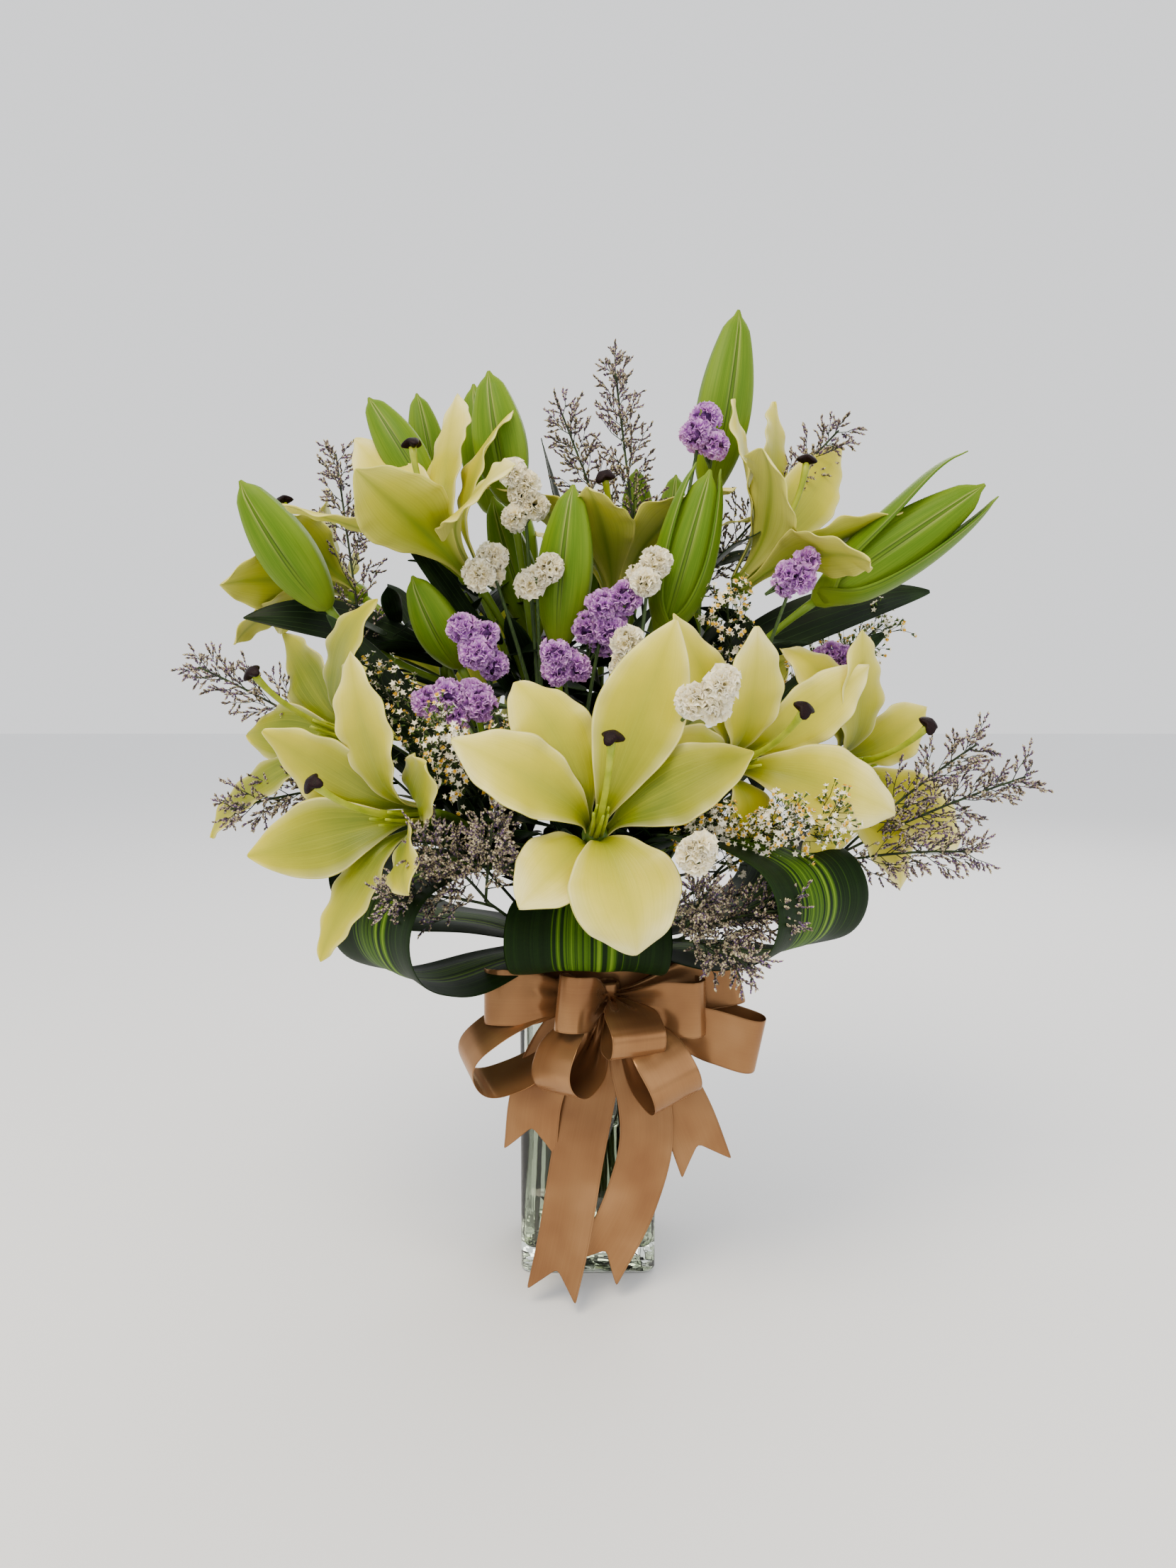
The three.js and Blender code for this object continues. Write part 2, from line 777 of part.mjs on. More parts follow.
// A thin stem that forks to each of `ends`, one branch above the other. It gives the ways of
// its branches.
function layForked(name, stem, ends, radius) {
  const route = stemRoute(stem, mix(stem.neck, centreOf(ends), 0.6));
  lay(name, (grow) => rod(route, [radius], 4, grow));
  const order = [...ends].sort((a, b) => a.z - b.z);
  return ends.map((end) => {
    const below = ends.length - 1 - order.indexOf(end);
    const start = mix(route.at(-1), route.at(-2), 0.15 * below + 0.02);
    const way = arch(start, shift(mix(start, end, 0.5), UP, 8), end, 2);
    lay(name, (grow) => rod(way, [radius], 3, grow));
    return way;
  });
}

// Sea lavender ----------------------------------------------------------------------------
// Fine sprays: a thin stem that forks to each tip, with twigs all along that carry florets.
// The star-flowered kind is white and yellow, the misty kind small and greyish purple.

const SPRAYS = [
  {
    name: "sea_lavender_star_left",
    floret: "star",
    tips: [[-150, -60, 440], [-96, -136, 409], [-50, -124, 402]],
  },
  {
    name: "sea_lavender_star_right",
    floret: "star",
    tips: [[96, -58, 500], [221, 11, 480], [204, 40, 452]],
  },
  {
    name: "sea_lavender_star_low",
    floret: "star",
    tips: [[85, -106, 343], [130, -132, 352], [166, -118, 352]],
  },
  {
    name: "sea_lavender_mist_left",
    floret: "mist",
    tips: [[-60, -170, 350], [-104, -159, 339], [-128, -140, 300]],
  },
  {
    name: "sea_lavender_mist_right",
    floret: "mist",
    tips: [[72, -168, 304], [99, -177, 266], [124, -158, 296]],
  },
  {
    name: "sea_lavender_mist_outer",
    floret: "mist",
    tips: [[268, -78, 396], [308, -62, 372], [262, -96, 324]],
  },
  {
    name: "sea_lavender_mist_top",
    floret: "mist",
    tips: [[20, 50, 678], [-20, 44, 640], [190, 36, 626]],
  },
  {
    name: "sea_lavender_mist_outer_left",
    floret: "mist",
    tips: [[-290, 0, 448], [-250, -70, 350], [-196, 60, 612]],
  },
];

const FLORETS = {
  star: { count: 3, reach: 17, root: 0.4, rim: 4.6 },
  mist: { count: 3, reach: 20, root: 0.4, rim: 3 },
};

// The florets of one tip: slender cups that stand on the faces of its three-sided branch.
function tipSolid(branch, kind, grow) {
  const { count, reach, root, rim } = FLORETS[kind];
  const run = branch[2].clone().sub(branch[1]).normalize();
  const whole = branch[2].clone().sub(branch[0]);
  const helper = Math.abs(whole.z) < 0.7 * whole.length() ? UP : vec(1, 0, 0);
  const right = helper.clone().cross(run).normalize();
  const ahead = run.clone().cross(right);
  const cups = [];
  for (let k = 0; k < count; k++) {
    const share = (k + 0.7) / count;
    const angle = (Math.PI / 3) * (1 + 2 * k);
    const out = right.clone().multiplyScalar(Math.cos(angle));
    out.addScaledVector(ahead, Math.sin(angle)).addScaledVector(run, 0.4 + share).normalize();
    const at = mix(branch[1], branch[2], share);
    const tip = shift(at, out, reach * (1.2 - 0.5 * share));
    cups.push(spindle(at, tip, (u) => lerp(root, rim, u), 1, 3, grow));
  }
  return Manifold.union(cups);
}

// Folded leaves on the rim ---------------------------------------------------------------
// Broad striped leaves, each bent over into a loop whose two ends meet at the stems.

const COLLARS = [
  { name: "front", turn: 0, reach: 118, low: 238, high: 290 },
  { name: "right_front", turn: 49, reach: 206, low: 256, high: 330 },
  { name: "right_back", turn: 118, reach: 180, low: 256, high: 324 },
  { name: "back", turn: 180, reach: 122, low: 240, high: 292 },
  { name: "left_back", turn: -114, reach: 196, low: 252, high: 318 },
  { name: "left_front", turn: -52, reach: 188, low: 233, high: 312 },
];

function layCollar({ name, turn, reach, low, high }) {
  const out = facing(turn, 0);
  const at = (r, z) => vec(0, 0, z).addScaledVector(out, r);
  const rest = VASE.height + COLLAR.thick / 2 + 1.3 * GAP;
  const radius = (high - low) / 2;
  const curve = new THREE.CatmullRomCurve3(
    [
      at(50, rest),
      at(76, lerp(rest, low, 0.4)),
      at(reach - radius, low),
      at(reach - radius * 0.25, low + radius * 0.35),
      at(reach, low + radius),
      at(reach - radius * 0.25, high - radius * 0.35),
      at(reach - radius, high),
      at(74, high - 6),
      at(54, high - 22),
    ],
    false,
    "centripetal",
  );
  const side = vec(-out.y, out.x, 0);
  const half = (u) => lerp(COLLAR.neck, COLLAR.width, Math.pow(Math.sin(Math.PI * u), 0.75)) / 2;
  const hollow = (u, v) => -2.5 * (1 - v * v) * smoothstep(u, 0, 0.2);
  const surface = stripSurface(curve, side, half, hollow);
  lay("collar_leaf_" + name, (grow) => blade(surface, COLLAR.along, 2, COLLAR.thick, grow));
}

// The bow ----------------------------------------------------------------------------------
// One satin ribbon: a band round the neck, loops gathered at a knot, and notched tails. Each
// loop is [turn, lift, length, roll, bulge]: the way that it points, how far, the roll of its
// width about that way, and half the height that it stands open.

const BOW = { knot: [14, -59.5, 214], bandLow: 196 };
const LOOPS = [
  [-78, 3, 88, 9, 16],
  [-75, -25, 111, 75, 22],
  [-39, -44, 78, 96, 18],
  [-34, 6, 54, 0, 12],
  [19, -18, 66, 90, 13],
  [63, 0, 74, 0, 13],
  [83, 11, 96, -5, 10],
  [74, -14, 114, 1, 12],
  [43, -40, 90, 119, 22],
];

function loopSolid([turn, lift, length, roll, bulge], knot, grow) {
  const out = facing(turn, lift);
  const across = UP.clone().addScaledVector(out, -UP.dot(out)).normalize();
  across.applyAxisAngle(out, degToRad(roll));
  const spread = out.clone().cross(across);
  const at = (r, s) => shift(shift(knot, out, r * length), spread, s * bulge);
  const there = [[0.08, -0.15], [0.4, -0.75], [0.76, -1], [0.99, -0.5]];
  const back = there.map(([r, s]) => [r, -s]).reverse();
  const way = [...there, ...back].map(([r, s]) => at(r, s));
  const curve = new THREE.CatmullRomCurve3(way, false, "centripetal");
  const half = (u) => (RIBBON.width / 2) * lerp(0.2, 1, smoothstep(Math.min(u, 1 - u), 0, 0.33));
  return blade(stripSurface(curve, across, half), 6, 1, RIBBON.thick, grow);
}

function layBow() {
  const knot = vec(...BOW.knot);
  const [low, high] = [-11, 11].map((rise) => shift(knot, UP, rise));
  lay("bow_loops", (grow) => {
    const heart = spindle(low, high, (u) => 6 + 2.5 * Math.sin(Math.PI * u), 2, 6, grow);
    return Manifold.union([heart, ...LOOPS.map((loop) => loopSolid(loop, knot, grow))]);
  });
  for (const tail of TAILS) {
    const curve = new THREE.CatmullRomCurve3(tail.way.map((p) => vec(...p)), false, "centripetal");
    const side = (u) => mix(vec(...tail.across[0]), vec(...tail.across[1]), u);
    const half = (u) => (RIBBON.width / 2) * lerp(0.35, 1, smoothstep(u, 0, 0.22));
    const surface = stripSurface(curve, side, half);
    lay("bow_tail_" + tail.name, (grow) => {
      const ribbon = blade(surface, 6, 2, RIBBON.thick, grow);
      return grow ? ribbon : ribbon.subtract(notch(surface));
    });
  }
}

// The swallow-tail notch cut from the end of a tail.
function notch(surface) {
  const depth = 0.12;
  const corner = (u, v, rise) => {
    const { point, normal } = surface(u, v);
    return shift(point, normal, rise);
  };
  const end = surface(1, 0).point.sub(surface(0.94, 0).point).normalize();
  const ring = (rise) => [
    corner(1 - depth, 0, rise),
    shift(corner(1, 0.8, rise), end, 3),
    shift(corner(1, -0.8, rise), end, 3),
  ];
  return skin([ring(-6), ring(6)]);
}

const TAILS = [
  {
    name: "left",
    way: [[2, -56, 202], [-20, -58, 178], [-36, -66, 146], [-42, -70, 100]],
    across: [[1, -0.1, 0.2], [1, -0.15, 0.05]],
  },
  {
    name: "middle_left",
    way: [[10, -56, 202], [4, -62, 160], [-8, -78, 100], [-18, -96, 45], [-26, -106, 10]],
    across: [[1, 0, 0.1], [0.77, -0.5, -0.4]],
  },
  {
    name: "middle_right",
    way: [[19, -57, 202], [36, -66, 160], [42, -76, 115], [30, -84, 70], [3, -92, 20]],
    across: [[1, 0, 0.1], [0.86, 0.1, -0.5]],
  },
  {
    name: "right",
    way: [[27, -56, 202], [48, -60, 168], [70, -66, 130], [86, -68, 88]],
    across: [[1, 0, 0.35], [1, 0.1, 0.25]],
  },
];

// The band is wound flat round the glass under the rim.
function bandSolid(grow) {
  const inner = roundedSquare(VASE.side / 2 + GAP - grow, VASE.corner);
  const outer = roundedSquare(VASE.side / 2 + GAP + RIBBON.thick + grow, VASE.corner);
  const depth = RIBBON.width + 2 * grow;
  const low = BOW.bandLow - grow;
  return extruded(outer, low, depth).subtract(extruded(inner, low - 1, depth + 2));
}

// Vase and water ---------------------------------------------------------------------------

function roundedSquare(half, radius) {
  const shape = new THREE.Shape();
  const flat = half - radius;
  shape.absarc(flat, flat, radius, 0, Math.PI / 2);
  shape.absarc(-flat, flat, radius, Math.PI / 2, Math.PI);
  shape.absarc(-flat, -flat, radius, Math.PI, 1.5 * Math.PI);
  shape.absarc(flat, -flat, radius, 1.5 * Math.PI, 2 * Math.PI);
  return shape;
}

function extruded(shape, z, depth) {
  const how = { depth, bevelEnabled: false, curveSegments: 2 };
  return solidOf(new THREE.ExtrudeGeometry(shape, how).translate(0, 0, z));
}

const vaseInner = VASE.side / 2 - VASE.wall;

function vaseSolid(grow) {
  const rim = roundedSquare(VASE.side / 2 + grow, VASE.corner);
  const outer = extruded(rim, -grow, VASE.height + 2 * grow);
  const bore = roundedSquare(vaseInner - grow, VASE.corner - VASE.wall);
  return outer.subtract(extruded(bore, VASE.base + grow, VASE.height));
}

function waterSolid(holes) {
  const shape = roundedSquare(vaseInner - GAP, VASE.corner - VASE.wall);
  const block = extruded(shape, VASE.base + GAP, WATER_LEVEL - VASE.base - GAP);
  return block.subtract(holes);
}

// Putting it together ------------------------------------------------------------------------

for (const stalk of STALKS) stalk.stem = claimStem(stalk.fork);
for (const head of STATICE) head.ends = head.clusters.map(([x, y, z]) => vec(x, y, z));
for (const spray of SPRAYS) spray.ends = spray.tips.map((tip) => vec(...tip));
for (const bunch of [...STATICE, ...SPRAYS]) bunch.stem = claimStem(centreOf(bunch.ends).toArray());
settleStems();

lay("vase", vaseSolid);
STALKS.forEach(layStalk);
for (const head of STATICE) layForked(head.name, head.stem, head.ends, STATICE_STEM);
for (const spray of SPRAYS) spray.ways = layForked(spray.name, spray.stem, spray.ends, SPRAY_STEM);
for (const bloom of BLOOMS) {
  lay("lily_bloom_" + bloom.name, (grow) => bloomSolid(bloom, grow));
  lay("lily_pistil_" + bloom.name, (grow) => pistilSolid(bloom, grow));
}
lay("bow_band", bandSolid);
layBow();
COLLARS.forEach(layCollar);
STATICE.forEach(({ name, clusters }, order) => {
  clusters.forEach((cluster, k) => lay(name, (grow) => clusterSolid(cluster, 17 * order + k + 1, grow)));
});
for (const { name, stem, fork, leaves } of STALKS) {
  for (const leaf of leaves) {
    const root = mix(stem.neck, vec(...fork), leaf.from);
    lay("lily_stalk_" + name, (grow) => leafSolid(root, leaf, grow));
  }
}
for (const { name, floret, ways } of SPRAYS) {
  for (const way of ways) lay(name, (grow) => tipSolid(way, floret, grow));
}

const MATERIALS = [
  ["vase", { color: 0xdfe8e6, roughness: 0.05, transparent: true, opacity: 0.35 }],
  ["water", { color: 0xcfdcd4, roughness: 0.02, transparent: true, opacity: 0.35 }],
  ["lily_bloom", { color: 0xe9e6a8, roughness: 0.55 }],
  ["lily_pistil", { color: 0xa6c24a, roughness: 0.5 }],
  ["lily_stalk", { color: 0x6f9a35, roughness: 0.5 }],
  ["collar_leaf", { color: 0x2c5a1e, roughness: 0.4 }],
  ["bow", { color: 0xb98558, roughness: 0.35 }],
  ["statice_purple", { color: 0x9a72cc, roughness: 0.7 }],
  ["statice_white", { color: 0xefe8da, roughness: 0.7 }],
  ["sea_lavender_star", { color: 0xe8e4c8, roughness: 0.7 }],
  ["sea_lavender_mist", { color: 0x8f8178, roughness: 0.8 }],
];

function materialFor(node) {
  const [, look] = MATERIALS.find(([start]) => node.startsWith(start));
  return new THREE.MeshStandardMaterial({ metalness: 0, ...look });
}

const boxesMeet = (a, b) =>
  [0, 1, 2].every((k) => a.min[k] < b.max[k] && b.min[k] < a.max[k]);

// Each part is cut clear of the other nodes' earlier parts, the parts of a node are fused,
// and a scrap that the cutting left loose is dropped.
function assemble() {
  const laid = [];
  for (const part of parts) {
    part.fat = part.make(GAP);
    part.box = part.fat.boundingBox();
    part.solid = part.make(0);
    for (const other of laid) {
      if (other.node !== part.node && boxesMeet(part.box, other.box)) {
        part.solid = part.solid.subtract(other.fat);
      }
    }
    laid.push(part);
  }
  const group = new THREE.Group();
  for (const node of new Set(parts.map((part) => part.node))) {
    const own = parts.filter((part) => part.node === node).map((part) => part.solid);
    addMesh(group, node, Manifold.union(own));
  }
  const wet = laid.filter(({ node, box }) => {
    const crosses = box.min[2] < WATER_LEVEL && box.max[2] > WATER_LEVEL;
    return crosses && node !== "vase" && !node.startsWith("bow");
  });
  addMesh(group, "water", waterSolid(Manifold.union(wet.map((part) => part.fat))));
  return group;
}

function addMesh(group, node, solid) {
  const pieces = solid.simplify(0.02).decompose();
  const largest = pieces.reduce((best, piece) => (piece.volume() > best.volume() ? piece : best));
  const mesh = new THREE.Mesh(geometryOf(largest), materialFor(node));
  mesh.name = node;
  group.add(mesh);
}

export default assemble();
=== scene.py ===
import math
import random

import bmesh
import bpy
from mathutils import Matrix, Vector
from mathutils.bvhtree import BVHTree


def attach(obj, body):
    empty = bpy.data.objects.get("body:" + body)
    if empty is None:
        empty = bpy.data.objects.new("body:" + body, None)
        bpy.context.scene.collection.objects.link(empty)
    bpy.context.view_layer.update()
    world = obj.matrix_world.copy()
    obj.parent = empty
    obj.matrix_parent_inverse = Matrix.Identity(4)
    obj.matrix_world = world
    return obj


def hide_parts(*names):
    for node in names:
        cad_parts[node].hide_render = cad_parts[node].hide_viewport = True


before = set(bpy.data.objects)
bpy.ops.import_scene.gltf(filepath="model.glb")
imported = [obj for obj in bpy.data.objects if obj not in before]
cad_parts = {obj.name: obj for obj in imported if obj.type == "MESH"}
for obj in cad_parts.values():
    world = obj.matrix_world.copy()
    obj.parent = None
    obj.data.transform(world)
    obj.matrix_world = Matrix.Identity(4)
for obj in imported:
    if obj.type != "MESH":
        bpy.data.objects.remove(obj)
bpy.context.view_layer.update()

# The view -------------------------------------------------------------------------------------
# A 30 mm lens at the height of the blooms, about a metre in front of the vase and tipped six
# degrees down. The bouquet's front is towards -Y.

camera = bpy.data.objects.new("camera", bpy.data.cameras.new("camera"))
camera.data.lens = 30
camera.data.sensor_width = 36
camera.location = (0, -0.9768, 0.4631)
camera.rotation_euler = (math.radians(84), 0, 0)
bpy.context.scene.collection.objects.link(camera)
bpy.context.scene.camera = camera

# Floor and light ------------------------------------------------------------------------------
# A matt, off-white studio floor under a pale surround. One large, slightly warm light hangs high
# on the left in front, a second fills from the right, and a third lights the far side.


def linear(code):
    """The linear colour of an sRGB hex value."""
    parts = [int(code[k : k + 2], 16) / 255 for k in (1, 3, 5)]
    return [c / 12.92 if c <= 0.04045 else ((c + 0.055) / 1.055) ** 2.4 for c in parts] + [1]


def new_material(name):
    made = bpy.data.materials.new(name)
    made.use_nodes = True
    return made


def set_up(material, node, values, feeds):
    """Sets a node's sockets and links its feeds, each an output or a node with one live output."""
    for key, value in values.items():
        node.inputs[key].default_value = value
    for key, source in feeds.items():
        if isinstance(source, bpy.types.Node):
            source = next(output for output in source.outputs if output.enabled)
        material.node_tree.links.new(source, node.inputs[key])


def add_node(material, kind, values={}, feeds={}, stops=(), **settings):
    """One node of a material, with its settings, socket values, links in, and ramp stops."""
    made = material.node_tree.nodes.new("ShaderNode" + kind)
    for key, value in settings.items():
        setattr(made, key, value)
    set_up(material, made, values, feeds)
    if stops:
        ramp = made.color_ramp.elements
        while len(ramp) < len(stops):
            ramp.new(0.5)
        for element, (place, code) in zip(ramp, stops):
            element.position = place
            element.color = linear(code) if isinstance(code, str) else (code, code, code, 1)
    return made


def surface_of(material, values, feeds={}):
    """Sets and links the material's surface shader."""
    set_up(material, material.node_tree.nodes["Principled BSDF"], values, feeds)


matt_floor = new_material("painted studio floor")
surface_of(matt_floor, {"Base Color": linear("#EBECEE"), "Roughness": 0.9})
bpy.ops.mesh.primitive_plane_add(size=12)
floor = bpy.context.object
floor.name = "floor"
floor.data.materials.append(matt_floor)

surround = bpy.data.worlds.new("surround")
bpy.context.scene.world = surround
surround.use_nodes = True
surround.node_tree.nodes["Background"].inputs["Color"].default_value = linear("#F6F7F9")
surround.node_tree.nodes["Background"].inputs["Strength"].default_value = 1.35

for name, place, size, power, tint in [
    ("key_light", (-0.6, -1.3, 2.1), 1.1, 52, "#FFEFD2"),
    ("fill_light", (1.6, -1.2, 1.1), 1.2, 8, "#FFFAF2"),
    ("far_light", (0.6, 1.8, 1.6), 1.2, 20, "#FFFAF2"),
]:
    lamp = bpy.data.objects.new(name, bpy.data.lights.new(name, "AREA"))
    lamp.data.size = size
    lamp.data.energy = power
    lamp.data.color = linear(tint)[:3]
    lamp.location = place
    aim = Vector((0, 0, 0.35)) - Vector(place)
    lamp.rotation_euler = aim.to_track_quat("-Z", "Y").to_euler()
    bpy.context.scene.collection.objects.link(lamp)

# Vase -------------------------------------------------------------------------------------------
# A square vase of clear soda-lime glass, pressed in a mould and fire-polished: upright walls
# with rounded corners, a soft rim, and a heavy foot that bends whatever is seen through it.
# All lengths from here on are in millimetres, and hand_over scales a finished piece to metres.

VASE_SIDE, VASE_HEIGHT, VASE_WALL, VASE_BASE, VASE_CORNER = 100, 240, 4.5, 18, 10


def rounded_post(bm, half, low, high, corner, segments):
    """An upright square block with rounded corners."""
    size = Matrix.Diagonal((2 * half, 2 * half, high - low, 1))
    place = Matrix.Translation((0, 0, (low + high) / 2)) @ size
    made = bmesh.ops.create_cube(bm, size=1, matrix=place)["verts"]
    upright = {e for v in made for e in v.link_edges if abs(e.verts[0].co.z - e.verts[1].co.z) > 1}
    bmesh.ops.bevel(
        bm, geom=list(upright), offset=corner, segments=segments, profile=0.5,
        affect="EDGES", material=-1,
    )


def level_faces(bm, z, facing):
    return [f for f in bm.faces if abs(f.calc_center_median().z - z) < 0.01 and f.normal.z * facing > 0.5]


def soften(bm, faces, offset, segments):
    """Rounds the edges round the outside of some faces."""
    inside = set(faces)
    rim = {e for f in faces for e in f.edges if not all(g in inside for g in e.link_faces)}
    bmesh.ops.bevel(
        bm, geom=list(rim), offset=offset, segments=segments, profile=0.5,
        affect="EDGES", material=-1,
    )


def hand_over(name, bm, nodes, slot, *finishes, smooth=True):
    """Makes a finished bmesh a piece that rides on the body and stands for its CAD nodes."""
    bm.transform(Matrix.Scale(0.001, 4))
    for face in bm.faces:
        face.smooth = smooth
    mesh = bpy.data.meshes.new(name)
    bm.to_mesh(mesh)
    bm.free()
    for finish in finishes:
        mesh.materials.append(finish)
    made = bpy.data.objects.new(name, mesh)
    bpy.context.scene.collection.objects.link(made)
    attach(made, "root")
    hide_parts(*nodes)
    return made


bm = bmesh.new()
rounded_post(bm, VASE_SIDE / 2, 0, VASE_HEIGHT, VASE_CORNER, 8)
bm.normal_update()
mouth = level_faces(bm, VASE_HEIGHT, 1)
bmesh.ops.inset_region(bm, faces=mouth, thickness=VASE_WALL, use_even_offset=True)
bm.normal_update()
hollow = [f for f in level_faces(bm, VASE_HEIGHT, 1) if len(f.verts) > 4]
sunk = bmesh.ops.extrude_face_region(bm, geom=hollow)["geom"]
bmesh.ops.delete(bm, geom=hollow, context="FACES_ONLY")
bmesh.ops.translate(
    bm, verts=[g for g in sunk if isinstance(g, bmesh.types.BMVert)],
    vec=(0, 0, VASE_BASE - VASE_HEIGHT),
)
bm.normal_update()
soften(bm, level_faces(bm, VASE_BASE, 1), 7, 6)
underside = level_faces(bm, 0, -1)
bmesh.ops.inset_region(bm, faces=underside, thickness=11, use_even_offset=True)
bm.normal_update()
raised = [f for f in level_faces(bm, 0, -1) if len(f.verts) > 4]
bmesh.ops.translate(bm, verts=list({v for f in raised for v in f.verts}), vec=(0, 0, 3))
bm.normal_update()
lip = [e for e in bm.edges if all(abs(v.co.z - VASE_HEIGHT) < 0.01 for v in e.verts)]
bmesh.ops.bevel(
    bm, geom=[e for e in lip if abs(e.calc_face_angle(0)) > 1], offset=1.6, segments=4,
    profile=0.5, affect="EDGES", material=-1,
)
foot = [e for e in bm.edges if all(abs(v.co.z) < 0.01 for v in e.verts)]
bmesh.ops.bevel(
    bm, geom=[e for e in foot if abs(e.calc_face_angle(0)) > 1], offset=3.5, segments=4,
    profile=0.5, affect="EDGES", material=-1,
)
bmesh.ops.recalc_face_normals(bm, faces=bm.faces)

# Pressed soda-lime glass: clear and colourless but for a trace of green in its thickness, with
# the slow ripple that a mould leaves, which is strongest in the foot.
pressed_glass = new_material("pressed soda-lime glass")
at = add_node(pressed_glass, "TexCoord").outputs["Object"]
ripple = add_node(
    pressed_glass, "TexNoise", {"Scale": 38, "Detail": 2, "Roughness": 0.45}, {"Vector": at}
)
height = add_node(pressed_glass, "SeparateXYZ", feeds={"Vector": at})
low_down = add_node(
    pressed_glass, "MapRange",
    {"From Min": 0.0, "From Max": 0.05, "To Min": 1.0, "To Max": 0.12}, {"Value": height.outputs["Z"]},
)
relief = add_node(
    pressed_glass, "Bump", {"Distance": 0.0035},
    {"Height": ripple, "Strength": low_down},
)
surface_of(
    pressed_glass,
    {"Base Color": linear("#E6ECE2"), "Roughness": 0.0, "IOR": 1.5, "Transmission Weight": 1.0},
    {"Normal": relief},
)
hand_over("glass_vase", bm, ["vase"], "vase", pressed_glass)

# Water ------------------------------------------------------------------------------------------
# Tap water, a little cloudy from the stems, up to just under half of the vase. It wets the
# glass, so its skin lies a hair inside the wall, and it climbs to a fine meniscus all round.

WATER_LEVEL = 112

bm = bmesh.new()
rounded_post(
    bm, VASE_SIDE / 2 - VASE_WALL + 0.1, VASE_BASE - 0.1, WATER_LEVEL, VASE_CORNER - VASE_WALL, 8
)
bm.normal_update()
soften(bm, level_faces(bm, VASE_BASE - 0.1, -1), 7, 6)
bm.normal_update()
bmesh.ops.inset_region(bm, faces=level_faces(bm, WATER_LEVEL, 1), thickness=2, use_even_offset=True)
bm.normal_update()
still = [f for f in level_faces(bm, WATER_LEVEL, 1) if len(f.verts) > 4]
bmesh.ops.translate(bm, verts=list({v for f in still for v in f.verts}), vec=(0, 0, -1.2))

# Clear water: the eye reads it by its line on the glass and by the stems that it shifts.
clear_water = new_material("water")
surface_of(
    clear_water,
    {"Base Color": linear("#DDE3CC"), "Roughness": 0.0, "IOR": 1.333, "Transmission Weight": 1.0},
)
hand_over("vase_water", bm, ["water"], "water", clear_water)

# Lily stalks --------------------------------------------------------------------------------------
# Cut lily stalks, round and pithy, twisted into a bunch in the vase. Each forks under the
# blooms into slender pedicels that bear a bloom or a bud. `fork` is the top of the stalk, a
# bud is [base, tip, width, opening], and a leaf [from, tip, width, arch, roll].

STALKS = {
    "front": {
        "fork": [2, -66, 300], "blooms": ["front"],
        "buds": [[[-20, -52, 462], [-10, -62, 574], 38, 0]],
        "leaves": [[0.9, [-45, -103, 387], 26, 14, 0]],
    },
    "right": {
        "fork": [61, -57, 332], "blooms": ["right", "far_right"],
        "buds": [],
        "leaves": [[0.95, [222, 0, 474], 34, 22, 50]],
    },
    "left": {
        "fork": [-71, -47, 316], "blooms": ["left", "far_left"],
        "buds": [[[-90, -44, 448], [-122, -60, 512], 32, 0]],
        "leaves": [
            [0.95, [-186, -41, 486], 36, 20, -50],
            [0.8, [-158, -70, 330], 30, 24, -30],
        ],
    },
    "upper_left": {
        "fork": [-36, 2, 397], "blooms": ["upper_left"],
        "buds": [
            [[-39, 30, 469], [-72, 26, 576], 32, 0],
            [[-55, -12, 565], [-71, -18, 659], 38, 0],
            [[-75, 68, 566], [-89, 65, 666], 34, 0],
            [[-118, 54, 579], [-132, 55, 657], 27, 0],
            [[-116, 12, 572], [-164, 24, 648], 32, 0],
        ],
        "leaves": [[0.98, [-146, -62, 566], 26, 12, -60]],
    },
    "middle": {
        "fork": [12, 30, 404], "blooms": ["middle"],
        "buds": [
            [[52, -48, 466], [84, -62, 584], 40, 0.3],
            [[40, 62, 540], [38, 70, 602], 24, 0],
            [[63, 80, 531], [71, 97, 601], 24, 0],
        ],
        "leaves": [[1, [-36, 43, 622], 24, 8, 0]],
    },
    "upper_right": {
        "fork": [83, 11, 441], "blooms": ["upper_right"],
        "buds": [
            [[90, 22, 576], [112, 26, 712], 40, 0],
            [[160, -37, 494], [273, -62, 574], 44, 1],
        ],
        "leaves": [[1, [256, 10, 504], 42, 20, 55]],
    },
    "far_left": {
        "fork": [-109, 24, 451], "blooms": ["outer_left"],
        "buds": [[[-188, -18, 490], [-246, -36, 580], 40, 0]],
        "leaves": [
            [1, [-254, -8, 484], 38, 22, -55],
            [0.8, [-232, 60, 430], 32, 24, -30],
        ],
    },
    "back": {
        "fork": [6, 43, 343], "blooms": ["back_right", "back_left"],
        "buds": [
            [[10, 92, 466], [6, 112, 576], 36, 0],
            [[-52, 96, 500], [-66, 116, 598], 34, 0],
        ],
        "leaves": [
            [0.95, [128, 106, 435], 34, 24, 0],
            [0.8, [-159, 100, 456], 34, 24, 0],
            [0.7, [20, 186, 410], 34, 22, 0],
        ],
    },
}
NECK_Z, NECK_PITCH_X, NECK_PITCH_Y, NECK_ROWS = 236, 14, 15, 5
BUNCH_TWIST, BUNCH_SHRINK = math.radians(50), 0.95
STALK_FOOT, STALK_TOP, PEDICEL = 4.2, 3.4, 2.6
UP = Vector((0, 0, 1))


def bent_way(start, pull, end, count):
    """Points on the curve that runs from end to end, pulled towards a middle point."""
    shares = [k / count for k in range(count + 1)]
    return [start * (1 - t) ** 2 + pull * 2 * t * (1 - t) + end * t * t for t in shares]


def square_to(direction):
    """A frame whose third axis is the direction given."""
    return direction.to_track_quat("Z", "Y").to_matrix()


